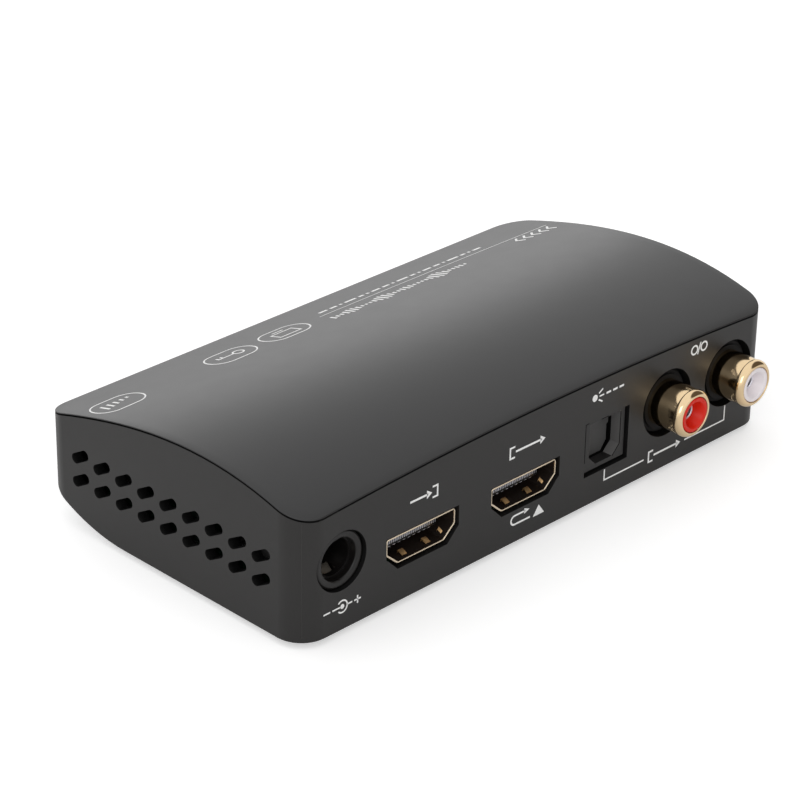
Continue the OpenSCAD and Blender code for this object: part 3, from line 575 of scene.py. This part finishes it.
def mould_line():
    """Faint parting line down the case's near corner: a real ridge, in a plastic twice as light as the
    case's, that lightness a painted highlight.
    """
    half, ridge_half = 0.09, 0.03
    sunk, proud = -0.05, 0.035
    steps = 12
    turn = math.radians(47)
    out = Vector((math.cos(turn), math.sin(turn)))
    side = Vector((-out.y, out.x))
    middle = Vector((LENGTH / 2 - CORNER_R, CASE_Y + DEPTH / 2 - CORNER_R))
    low = BASE_Z + 0.9
    high = crown_z(*(middle + out * CORNER_R)) - WALL_DROP + WALL_LIFT - 0.35
    section = ((-half, sunk), (-ridge_half, proud), (ridge_half, proud), (half, sunk))
    loops = []
    for k in range(steps + 1):
        z = low + k * (high - low) / steps
        spots = [middle + out * (CORNER_R + lift) + side * across for across, lift in section]
        loops.append([point(spot.x, spot.y, z) for spot in spots])
    work = bmesh.new()
    capped(work, loops)
    finish_piece("corner_parting_line", work, "box", PARTING_HIGHLIGHT)


mould_line()


# Pieces turned about a socket's axis: the inlet's front ring, the phono sleeves and inserts


def lathe(work, x, profile, steps=96):
    """A closed solid of revolution about a socket's axis; the profile is (radius, depth) points."""
    loops = []
    for k in range(steps):
        a = 2 * math.pi * k / steps
        loops.append([point(x + r * math.cos(a), inward(d), AXIS_Z + r * math.sin(a))
                      for r, d in profile])
    loft(work, loops)
    bmesh.ops.remove_doubles(work, verts=work.verts, dist=WELD * MM)


def arc(centre, radii, start, stop, steps):
    """Points of an arc in a profile, its radii across and along the axis, its angles in degrees."""
    points = []
    for k in range(steps + 1):
        a = math.radians(start + (stop - start) * k / steps)
        points.append((centre[0] + radii[0] * math.cos(a), centre[1] + radii[1] * math.sin(a)))
    return points


def inlet_ring():
    """Front of the inlet's nose, rolled at its rim, with a face that dips to the mouth."""
    outside = NOSE_R + 0.01
    front = 0.52
    back = 1.6
    work = bmesh.new()
    lathe(work, INLET_X, [(outside, back), (outside, front + 0.32), (outside - 0.04, front + 0.16),
                          (outside - 0.15, front + 0.05), (outside - 0.32, front), (4.3, front + 0.02),
                          (3.9, front + 0.11), (NOSE_MOUTH_R + 0.12, front + 0.18),
                          (NOSE_MOUTH_R + 0.03, front + 0.26), (NOSE_MOUTH_R, front + 0.38),
                          (NOSE_MOUTH_R - 0.02, back + 0.3), (4.4, back + 0.3)])
    finish_piece("inlet_nose_ring", work, "box", SOCKET, sharp=60)


inlet_ring()

# Depths are from the port face inward, so what stands out of it is negative
SLEEVE_OUT = 6.2
SLEEVE_BORE = 3.6
SLEEVE_SEAT = 1.3
SLEEVE_END = 4
SHANK_R = 3.95
LIP_R = 3.2


def sleeve(name, x, replaced):
    """Barrel that narrows a little to a neck, then a rolled bead that turns back into the mouth."""
    barrel_r = 4.13
    neck_start, neck_end = -2.6, -4.7
    neck_cut = 0.1
    bead_r, bead_d = 3.3, -5.06
    bead_across, bead_along = 0.92, 1.09
    lip_d = -6.05
    stop_d = -5.2
    work = bmesh.new()
    profile = [(SHANK_R, SLEEVE_END), (SHANK_R, SLEEVE_SEAT), (barrel_r, SLEEVE_SEAT),
               (barrel_r, neck_start)]
    neck_steps = 8
    for k in range(1, neck_steps + 1):
        f = k / neck_steps
        profile.append((barrel_r - neck_cut * f ** 2, neck_start + (neck_end - neck_start) * f))
    profile += arc((bead_r, bead_d), (bead_across, -bead_along), -12, 90, 20)
    profile += [(LIP_R + 0.03, lip_d - 0.07), (LIP_R, lip_d), (LIP_R, stop_d), (SLEEVE_BORE, stop_d),
                (SLEEVE_BORE, SLEEVE_END)]
    lathe(work, x, profile)
    finish_piece(name, work, "box", SLEEVE_GOLD, replaced, sharp=50)


def insert(name, x, material, replaced):
    """Coloured insert: a flat ring, then a funnel that narrows to the pin's hole; and the pin's tip."""
    front = -SLEEVE_OUT + 0.05
    back = 3.95
    edge = 0.12
    neck = LIP_R - 0.12
    skirt, skirt_d = SLEEVE_BORE - 0.05, -5.15
    mouth = 2.3
    hole = 1.6
    inside_r, inside_d = 2.15, -2.65
    work = bmesh.new()
    profile = arc((neck - edge, front + edge), (edge, edge), 0, -90, 4)
    profile += [(mouth + 0.25, front), (mouth + 0.1, front + 0.05), (mouth, front + 0.18),
                (hole + 0.12, front + 1.75), (hole + 0.03, front + 1.9), (hole, front + 2.1),
                (hole, inside_d), (inside_r, inside_d), (inside_r, back), (skirt, back),
                (skirt, skirt_d), (neck, skirt_d)]
    lathe(work, x, profile)
    finish_piece(name, work, "box", material, replaced)
    bore, rim = 1.2, 1.56
    bevel = 0.1
    tip_front, tip_back = -4.3, -2.6
    tip = bmesh.new()
    lathe(tip, x, [(bore, tip_front + bevel), (bore + bevel, tip_front), (rim - 0.08, tip_front),
                   (rim, tip_front + bevel), (rim, tip_back), (bore, tip_back)])
    finish_piece(name.replace("insert", "contact_tip"), tip, "box", CONTACT)


sleeve("red_sleeve", RED_X, ["red_phono_sleeve"])
sleeve("white_sleeve", WHITE_X, ["white_phono_sleeve"])
insert("red_insert", RED_X, RED, ["red_phono_insert"])
insert("white_insert", WHITE_X, WHITE, ["white_phono_insert"])


# Video sockets

SHELL_SHIFT = 0.1
SHELL_HALF = 7.68
SHELL_FLOOR_HALF = 5.2
SHELL_H = 5.1
SHELL_SIDE = 2.2
SHELL_T = 0.36
SHELL_RIM = 0.5
SHELL_BACK = 11.5
TONGUE_Z = BOARD_TOP + 2.4
TONGUE_T = 1.5


def shell_outline(x, grow):
    """The D-shaped outline of a video socket, as in the frame's shell; grow moves it outward."""
    across, up = 0.55, 0.45
    x -= SHELL_SHIFT
    w = SHELL_HALF + grow
    floor = SHELL_FLOOR_HALF + grow / 2
    low = BOARD_TOP - grow
    high = BOARD_TOP + SHELL_H + grow
    side = BOARD_TOP + SHELL_SIDE - grow / 2
    return [(x + floor, low), (x + w - across, side - up), (x + w, side), (x + w, high),
            (x - w, high), (x - w, side), (x - w + across, side - up), (x - floor, low)]


def rounded(points, radii, steps=4):
    """An outline with each corner replaced by an arc that touches both sides."""
    out = []
    for i, corner in enumerate(points):
        before = Vector(points[i - 1]) - Vector(corner)
        after = Vector(points[(i + 1) % len(points)]) - Vector(corner)
        half = before.angle(after) / 2
        cut = min(radii[i] / math.tan(half), before.length * 0.45, after.length * 0.45)
        radius = cut * math.tan(half)
        start = Vector(corner) + before.normalized() * cut
        stop = Vector(corner) + after.normalized() * cut
        inner = (before.normalized() + after.normalized()).normalized()
        middle = Vector(corner) + inner * (radius / math.sin(half))
        a = start - middle
        b = stop - middle
        turn = a.angle(b)
        for k in range(steps + 1):
            f = k / steps
            if turn > 1e-6:
                p = (a * math.sin((1 - f) * turn) + b * math.sin(f * turn)) / math.sin(turn)
            else:
                p = a
            out.append(tuple(middle + p))
    return out


def shell_loop(x, grow, d):
    """The sheet's outline at a depth, with the bends that grow or shrink as it is moved outward."""
    least = 0.06
    foot, notch, bend = 0.8 + grow, 0.5 - grow, 0.6 + grow
    radii = [max(least, r) for r in (foot, notch, bend, bend, bend, bend, notch, foot)]
    return [point(px, inward(d), pz) for px, pz in rounded(shell_outline(x, grow), radii)]


def bent_strip(work, x, width, path, thick, tilt=0.0):
    """A thin strip along a path of (depth, height) points, tilt turning it about the depth axis."""
    loops = []
    for d, z in path:
        ring = []
        for dx, dz in ((-width / 2, 0), (width / 2, 0), (width / 2, thick), (-width / 2, thick)):
            turned_x = dx * math.cos(tilt) - dz * math.sin(tilt)
            turned_z = dx * math.sin(tilt) + dz * math.cos(tilt)
            ring.append(point(x + turned_x, inward(d), z + turned_z))
        loops.append(ring)
    capped(work, loops)


def shell_sheet(key, x):
    """Plated sheet whose front edge is rounded; its inside takes a near-black non-metal that is painted
    shade.
    """
    t = SHELL_T
    soft, soft_d = 0.13, 0.14
    mid, mid_d = 0.04, 0.05
    steps = [(0, SHELL_BACK), (0, SHELL_RIM + soft_d), (-mid, SHELL_RIM + mid_d), (-soft, SHELL_RIM),
             (soft - t, SHELL_RIM), (mid - t, SHELL_RIM + mid_d), (-t, SHELL_RIM + soft_d),
             (-t, SHELL_BACK)]
    inside = len(steps) - 2
    work = bmesh.new()
    loft(work, [shell_loop(x, grow, d) for grow, d in steps], dark=(inside,))
    finish_piece(key + "_shell_sheet", work, "box", PALE_GOLD, [key + "_shell"],
                 inner=SHELL_PAINTED_SHADE)


def spring_tabs(key, x):
    """Two tabs bent up from the shell's floor, and one from its slanted flank."""
    tab_x, tab_w, tab_t = 2.6, 1.05, 0.14
    flank_x, flank_w, flank_t = 5.75, 0.5, 0.1
    sunk, rise = 0.05, 0.42
    floor = BOARD_TOP + SHELL_T
    tab = [(1.35, floor - sunk), (1.6, floor + 0.1), (2.3, floor + rise), (2.42, floor + rise),
           (2.5, floor - sunk)]
    flank = [(1.5, floor + 0.55), (1.7, floor + 0.7), (2.3, floor + 0.95), (2.45, floor + 0.6)]
    slope = -math.atan2(1.6, 1.7)
    springs = bmesh.new()
    for side in (-1, 1):
        bent_strip(springs, x + side * tab_x + 0.1, tab_w, tab, tab_t)
    bent_strip(springs, x - flank_x, flank_w, flank, flank_t, slope)
    finish_piece(key + "_springs", springs, "box", SPRING)


def tongue_moulding(key, x):
    """Black tongue with a bevelled tip, and the block at the socket's back that carries it."""
    half_w = 5.9
    half_t = TONGUE_T / 2
    tip, root = 3.0, 8.5
    bevel = 0.2
    overlap = 0.05
    profile = [(tip, TONGUE_Z - half_t + bevel), (tip + bevel, TONGUE_Z - half_t),
               (root + overlap, TONGUE_Z - half_t), (root + overlap, TONGUE_Z + half_t),
               (tip + bevel, TONGUE_Z + half_t), (tip, TONGUE_Z + half_t - bevel)]
    tongue = bmesh.new()
    capped(tongue, [[point(x + px, inward(d), z) for d, z in profile] for px in (-half_w, half_w)])
    plug = rounded(shell_outline(x, -SHELL_T - overlap), [bevel] * 8)
    capped(tongue, [[point(px, inward(d), pz) for px, pz in plug] for d in (root, SHELL_BACK)])
    finish_piece(key + "_tongue_moulding", tongue, "box", SOCKET, [key + "_tongue"])


def contact_rows(key, x):
    """Ten contacts on the tongue and nine under it, and the fine comb that glints at its tip."""
    pitch = 1.105
    width, thick = 0.5, 0.1
    back, front, tip, drop = 8.4, 3.3, 3.05, 0.16
    pins = bmesh.new()
    for count, sign in ((10, 1), (9, -1)):
        top = TONGUE_Z + sign * (TONGUE_T / 2 + 0.01)
        path = [(back, top), (front, top), (tip, top - sign * drop)]
        for i in range(count):
            bent_strip(pins, x + (i - (count - 1) / 2) * pitch, width, path, sign * thick)
    teeth, tooth_pitch, tooth_half = 29, 0.402, 0.08
    for k in range(teeth):
        px = x + (k - (teeth - 1) / 2) * tooth_pitch
        block(pins, (px - tooth_half, px + tooth_half), (inward(3.1), inward(2.9)),
              (TONGUE_Z - 0.12, TONGUE_Z + 0.55))
    finish_piece(key + "_pins", pins, "box", CONTACT, [key + "_contacts"])


def video_socket(key):
    x = VIDEO_X[key]
    shell_sheet(key, x)
    spring_tabs(key, x)
    tongue_moulding(key, x)
    contact_rows(key, x)


video_socket("video_in")
video_socket("video_out")


# Print, and painted shade lines, as thin raised marks

INK_T = 0.02
LINE = 0.27
FIRM_LINE = LINE + 0.05
BROAD_LINE = LINE + 0.1
BAR = 0.42


def around(u, v, r, turn):
    """The point at an angle, in degrees, on a circle about a place."""
    a = math.radians(turn)
    return u + r * math.cos(a), v + r * math.sin(a)


class Print:
    """Marks in a label's own right and up, laid on a surface."""

    def __init__(self, lay):
        self.lay = lay
        self.mesh = bmesh.new()

    def shape(self, points):
        """A small convex mark."""
        capped(self.mesh, [[self.lay(u, v, lift) for u, v in points] for lift in (-INK_T, INK_T)])

    def ribbon(self, path, width, closed=False):
        """A line of even width along a path, in short steps, so that it follows the surface."""
        fine = []
        ends = list(zip(path, path[1:] + path[:1])) if closed else list(zip(path, path[1:]))
        for a, b in ends:
            a, b = Vector(a), Vector(b)
            count = max(1, math.ceil((b - a).length / 1.2))
            fine += [a + (b - a) * k / count for k in range(count)]
        if not closed:
            fine.append(Vector(path[-1]))
        rings = []
        total = len(fine)
        for i, p in enumerate(fine):
            before = fine[i - 1] if closed or i else None
            after = fine[(i + 1) % total] if closed or i < total - 1 else None
            normals = []
            for a, b in ((before, p), (p, after)):
                if a is not None and b is not None:
                    step = (b - a).normalized()
                    normals.append(Vector((-step.y, step.x)))
            normal = sum(normals, Vector((0, 0))).normalized()
            reach = width / 2 / max(0.5, normal.dot(normals[0]))
            left, right = p + normal * reach, p - normal * reach
            rings.append([self.lay(*right, -INK_T), self.lay(*left, -INK_T),
                          self.lay(*left, INK_T), self.lay(*right, INK_T)])
        if closed:
            loft(self.mesh, rings)
        else:
            capped(self.mesh, rings)

    def disc(self, u, v, r, steps=20):
        self.shape([around(u, v, r, 360 * k / steps) for k in range(steps)])

    def ring(self, u, v, r, width, start=0, stop=360, steps=28):
        """A ring, or the part of one between two angles in degrees."""
        closed = stop - start >= 360
        path = [around(u, v, r, start + (stop - start) * k / steps) for k in range(steps + (not closed))]
        self.ribbon(path, width, closed)

    def done(self, name, material=INK):
        finish_piece(name, self.mesh, "box", material, sharp=20)


def on_port_face(u, v, lift):
    """u is the distance from the vented end, and v the height above the underside."""
    return point(along(u), inward(0) + lift, BASE_Z + v)


def on_cover(u, v, lift):
    """u is X, and v the distance from the port face, negative inward, so that it reads from the front."""
    y = inward(0) + v
    return point(u, y, crown_z(u, y) + lift)


def on_optical_front(u, v, lift):
    """u runs to the right, as the ports are seen, from the optical socket's middle; v is as above."""
    return point(OPTICAL_X - u, inward(OPTICAL_FRONT) + lift, BASE_Z + v)


def at_optical_cut(u, v, lift):
    """The same, at the port face."""
    return point(OPTICAL_X - u, inward(0) + lift, BASE_Z + v)


def optical_lines():
    """Thin painted shade lines, in black, along the edges of the plug opening and of the case's cut-out.
    """
    half = OPENING_W / 2 + 0.07
    low = OPENING_LOW - BASE_Z
    high = OPENING_HIGH - BASE_Z
    corner = 1.7
    opening = Print(on_optical_front)
    opening.ribbon([(half, high - 0.1), (half, low + corner), (half - corner, low - 0.03)], 0.15)
    opening.ribbon([(-1.0, high + 0.1), (0.9, high + 0.1)], 0.12)
    opening.done("optical_opening_shade_line", PAINTED_SHADE_BLACK)
    left, top, foot, reach = -5.36, 15.35, 8.2, 0.76
    cut = Print(at_optical_cut)
    cut.ribbon([(left + reach, top), (left, top), (left, foot)], 0.13)
    cut.done("optical_cut_shade_line", PAINTED_SHADE_BLACK)


optical_lines()


def polarity(marks, u, v):
    """Direct-current inlet: minus sign, ring about a dot, plus sign."""
    dot_r, ring_r = 0.42, 1.05
    inner, link, near, far = 0.5, 2.1, 2.55, 3.95
    plus, arm = 3.25, 0.7
    marks.ribbon([(u - far, v), (u - near, v)], LINE)
    marks.ribbon([(u - link, v), (u - inner, v)], LINE)
    marks.disc(u, v, dot_r)
    marks.ring(u, v, ring_r, LINE, -140, 140)
    marks.ribbon([(u + ring_r, v), (u + link, v)], LINE)
    marks.ribbon([(u + near, v), (u + far, v)], LINE)
    marks.ribbon([(u + plus, v - arm), (u + plus, v + arm)], LINE)


def arrow(marks, u, v, span, out):
    """A bracket and an arrow that leaves it, or enters it."""
    lip, half = 1.1, 0.95
    head, head_half = 1.15, 0.75
    turn = 1 if out else -1
    gate = u - turn * span / 2
    tail = gate + 1.3 if out else u - span / 2
    tip = u + span / 2 if out else gate - 1.2
    end = gate + turn * lip
    marks.ribbon([(end, v + half), (gate, v + half), (gate, v - half), (end, v - half)], FIRM_LINE)
    marks.ribbon([(tail, v), (tip - 0.9, v)], BROAD_LINE)
    marks.shape([(tip - head, v - head_half), (tip, v), (tip - head, v + head_half)])


def turning_arrow(marks, u, v):
    """Return channel: an arrow that turns back, and a solid triangle."""
    r = 0.8
    head, head_half = 1.2, 0.5
    tip = u + 3.5
    marks.ribbon([(u + 3.7, v - r), (u, v - r)], FIRM_LINE)
    marks.ring(u, v, r, FIRM_LINE, 90, 270, 12)
    marks.ribbon([(u, v + r), (u + 2.5, v + r)], FIRM_LINE)
    marks.shape([(tip - head, v + r - head_half), (tip, v + r), (tip - head, v + r + head_half)])
    left, right, foot = u + 4.4, u + 7.05, v - 1.15
    marks.shape([(left, foot), (right, foot), (u + 5.72, v + 0.7)])


def rays(marks, u, v):
    """Optical socket: a source, three rays and three dashes."""
    dot_r, near, far = 0.62, 1.1, 2.2
    start, dash, pitch = 2.8, 1.1, 1.6
    marks.disc(u, v, dot_r)
    for turn in (-32, 0, 32):
        marks.ribbon([around(u, v, near, turn), around(u, v, far, turn)], LINE)
    for k in range(3):
        left = u + start + k * pitch
        marks.ribbon([(left, v), (left + dash, v)], BROAD_LINE)


def ring_pair(marks, u, v):
    """Two sound channels: a pair of rings parted by a stroke."""
    r = 0.78
    marks.ring(u, v, r, FIRM_LINE)
    marks.ribbon([(u + 0.85, v - 1.05), (u + 1.55, v + 1.05)], LINE)
    marks.ring(u + 2.45, v, r, FIRM_LINE)


def port_marks():
    """The places are distances from the vented end and heights above the underside."""
    marks = Print(on_port_face)
    polarity(marks, 8.8, 4.12)
    arrow(marks, 26.2, 16.65, 6.0, False)
    arrow(marks, 49.75, 16.75, 8.2, True)
    arrow(marks, 84.25, 3.25, 8.2, True)
    turning_arrow(marks, 47.2, 4.1)
    rays(marks, 65.6, 19.6)
    ring_pair(marks, 90.6, 19.75)
    # bracket under the sound outputs, open at its middle for the arrow
    left, right, low = 68.9, 99.9, 3.2
    marks.ribbon([(left, low + 2), (left, low), (left + 10, low)], LINE)
    marks.ribbon([(right - 10.5, low), (right, low), (right, low + 2.8)], LINE)
    marks.done("port_face_print")


def pill(marks, u, v):
    """A rounded frame about a sign."""
    w, h, r = 9.6, 6.2, 3.0
    steps = 8
    path = []
    for cx, cy, turn in ((1, 1, 0), (-1, 1, 90), (-1, -1, 180), (1, -1, 270)):
        middle = (u + cx * (w / 2 - r), v + cy * (h / 2 - r))
        path += [around(*middle, r, turn + 90 * k / steps) for k in range(steps + 1)]
    marks.ribbon(path, LINE, closed=True)


def level_bars(marks, u, v):
    """Rising bars."""
    pill(marks, u, v)
    first, pitch, foot, head, rise = -2.6, 1.3, -1.2, -0.5, 0.42
    for k in range(5):
        x = u + first + pitch * k
        marks.ribbon([(x, v + foot), (x, v + head + rise * k)], BAR)


def screen(marks, u, v):
    """A screen on its stand."""
    pill(marks, u, v)
    w, h = 2.3, 1.25
    stand, stand_v = 1.2, -1.75
    low, high = v + 0.4 - h, v + 0.4 + h
    marks.ribbon([(u - w, low), (u + w, low), (u + w, high), (u - w, high)], LINE, closed=True)
    marks.ribbon([(u - stand, v + stand_v), (u + stand, v + stand_v)], LINE)


def key_sign(marks, u, v):
    """A key: its bow, shank and two teeth."""
    pill(marks, u, v)
    bow_u, bow_r, end = -1.7, 0.95, 2.7
    marks.ring(u + bow_u, v, bow_r, FIRM_LINE)
    marks.ribbon([(u - 0.7, v), (u + end, v)], FIRM_LINE)
    for tooth in (1.6, 2.5):
        marks.ribbon([(u + tooth, v), (u + tooth, v - 0.9)], FIRM_LINE)


def sound_wave(marks, start, stop, v):
    """Bars whose heights swell and fall like a sound."""
    bars = 34
    least, most = 0.3, 1.35
    for k in range(bars):
        f = k / (bars - 1)
        x = along(start) + (start - stop) * f
        swell = abs(math.sin(2.6 * math.pi * f)) * (0.55 + 0.45 * math.cos(9.4 * math.pi * f))
        reach = least + most * abs(swell)
        marks.ribbon([(x, v - reach), (x, v + reach)], BAR)


def chevrons(marks, start, v):
    pitch, tip, half = 2.05, 1.1, 1.2
    for k in range(5):
        x = along(start) + pitch * k
        marks.ribbon([(x, v - half), (x + tip, v), (x, v + half)], BAR)


def dashes(marks, start, stop, v):
    """A row of small dashes of changing length."""
    runs = (1.9, 0.5, 1.1, 2.6, 0.5, 1.5)
    gap = 0.75
    width = 0.62
    s = start
    step = 0
    while s > stop:
        run = runs[step % len(runs)]
        marks.ribbon([(along(s), v), (along(s - run), v)], width)
        s -= run + gap
        step += 1


def cover_marks():
    """The places are distances from the vented end and from the port face."""
    pill_v = -49.4
    marks = Print(on_cover)
    level_bars(marks, along(6.5), pill_v)
    screen(marks, along(42.85), pill_v)
    key_sign(marks, along(30.75), pill_v)
    marks.ribbon([(along(108), -49.8), (along(51.4), -49.8)], 0.16)
    sound_wave(marks, 83.4, 51.6, -46.6)
    chevrons(marks, 107.2, -47.7)
    dashes(marks, 92.9, 53, -51.9)
    marks.done("cover_print")


port_marks()
cover_marks()

# Materials of the nodes that keep the frame's own shape
KEPT = {
    "board_screws": STEEL, "circuit_board": BOARD,
    "optical_emitter": CHIP, "red_phono_contact": GOLD, "white_phono_contact": GOLD,
    "switch_body": STEEL, "button_plunger": STEEL, "button_body": CHIP, "lamp_holders": CHIP,
    "signal_chip": CHIP, "thermal_pad": PAD, "heat_sink": SINK, "sound_chip": CHIP,
    "control_chip": CHIP, "chip_legs": STEEL, "regulator": CHIP, "coils": FERRITE,
    "capacitors": CAN, "crystal": STEEL, "small_passives": CERAMIC,
}
for node, material in KEPT.items():
    data = frame["nodes"][node].data
    data.materials.clear()
    data.materials.append(material)


# Studio


def as_seen(nodes, links, base, to_camera, to_gloss):
    """A strength that is higher for what the camera sees directly, or in metal or glass."""
    path = nodes.new("ShaderNodeLightPath")
    total = None
    shares = {"Is Camera Ray": to_camera, "Is Glossy Ray": to_gloss, "Is Transmission Ray": to_gloss}
    for ray, share in shares.items():
        part = nodes.new("ShaderNodeMath")
        part.operation = "MULTIPLY_ADD"
        part.inputs[1].default_value = share
        part.inputs[2].default_value = base
        links.new(path.outputs[ray], part.inputs[0])
        if total:
            links.new(total, part.inputs[2])
        total = part.outputs[0]
    return total


def floor():
    reach, thick = 1600, 2
    corners = [(-reach, -reach), (reach, -reach), (reach, reach), (-reach, reach)]
    work = bmesh.new()
    capped(work, [[point(x, y, z) for x, y in corners] for z in (-thick, 0)])
    mesh = bpy.data.meshes.new("floor")
    work.to_mesh(mesh)
    work.free()
    material, nodes, links, bsdf = shader("floor_white")
    bsdf.inputs["Base Color"].default_value = (0.82, 0.82, 0.82, 1)
    bsdf.inputs["Roughness"].default_value = 0.9
    bsdf.inputs["Specular IOR Level"].default_value = 0.0
    bsdf.inputs["Emission Color"].default_value = (1, 1, 1, 1)
    links.new(as_seen(nodes, links, 0.0, 0.47, 0.08), bsdf.inputs["Emission Strength"])
    mesh.materials.append(material)
    piece = bpy.data.objects.new("floor", mesh)
    bpy.context.scene.collection.objects.link(piece)


def world():
    """White surroundings with one dark patch, high behind the far end, for the bands in the gold."""
    patch_way = Vector((-0.78, 0.42, 0.46)).normalized()
    patch_start, patch_full = 0.81, 0.87
    patch_colour = (0.12, 0.1, 0.08)
    scene_world = bpy.data.worlds.new("studio")
    bpy.context.scene.world = scene_world
    scene_world.use_nodes = True
    nodes, links = scene_world.node_tree.nodes, scene_world.node_tree.links
    background = nodes["Background"]
    place = nodes.new("ShaderNodeTexCoord")
    toward = nodes.new("ShaderNodeVectorMath")
    toward.operation = "DOT_PRODUCT"
    toward.inputs[1].default_value = patch_way
    links.new(place.outputs["Generated"], toward.inputs[0])
    patch = ramp(nodes, links, toward.outputs["Value"], (1, 1, 1), patch_colour, patch_start, patch_full)
    links.new(patch, background.inputs["Color"])
    links.new(as_seen(nodes, links, 0.9, 0.1, 0.1), background.inputs["Strength"])


def softbox(name, place, aim, width, height, power):
    """A rectangular lamp; place and sizes in metres, power in watts."""
    light = bpy.data.lights.new(name, "AREA")
    light.shape = "RECTANGLE"
    light.size = width
    light.size_y = height
    light.energy = power
    lamp = bpy.data.objects.new(name, light)
    lamp.location = place
    lamp.rotation_euler = (Vector(aim) - Vector(place)).to_track_quat("-Z", "Y").to_euler()
    bpy.context.scene.collection.objects.link(lamp)


def camera():
    """The photograph's own view: a pinhole fitted to the case's edges, for a frame of 800 by 800."""
    focal_px = 2975.95
    frame_px = 800
    sensor = 36
    place = Vector((316.78, 308.30 + CASE_Y, 243.20)) * MM
    right = Vector((-0.70759, 0.70646, 0.01537)).normalized()
    ahead = Vector((-0.63144, -0.62239, -0.46251)).normalized()
    up = right.cross(ahead)
    data = bpy.data.cameras.new("camera")
    data.sensor_width = sensor
    data.lens = focal_px / frame_px * sensor
    data.clip_start = 0.01
    data.clip_end = 20
    eye = bpy.data.objects.new("camera", data)
    eye.matrix_world = Matrix((
        (right.x, up.x, -ahead.x, place.x),
        (right.y, up.y, -ahead.y, place.y),
        (right.z, up.z, -ahead.z, place.z),
        (0, 0, 0, 1)))
    bpy.context.scene.collection.objects.link(eye)
    bpy.context.scene.camera = eye


floor()
world()
camera()
AIM = (0, 0, 0.01)
softbox("near", (0.75, 0.55, 0.45), AIM, 0.5, 0.5, 1.2)
softbox("behind", (-0.55, -0.75, 0.22), AIM, 0.5, 0.25, 0.45)
bpy.context.scene.view_settings.view_transform = "Standard"
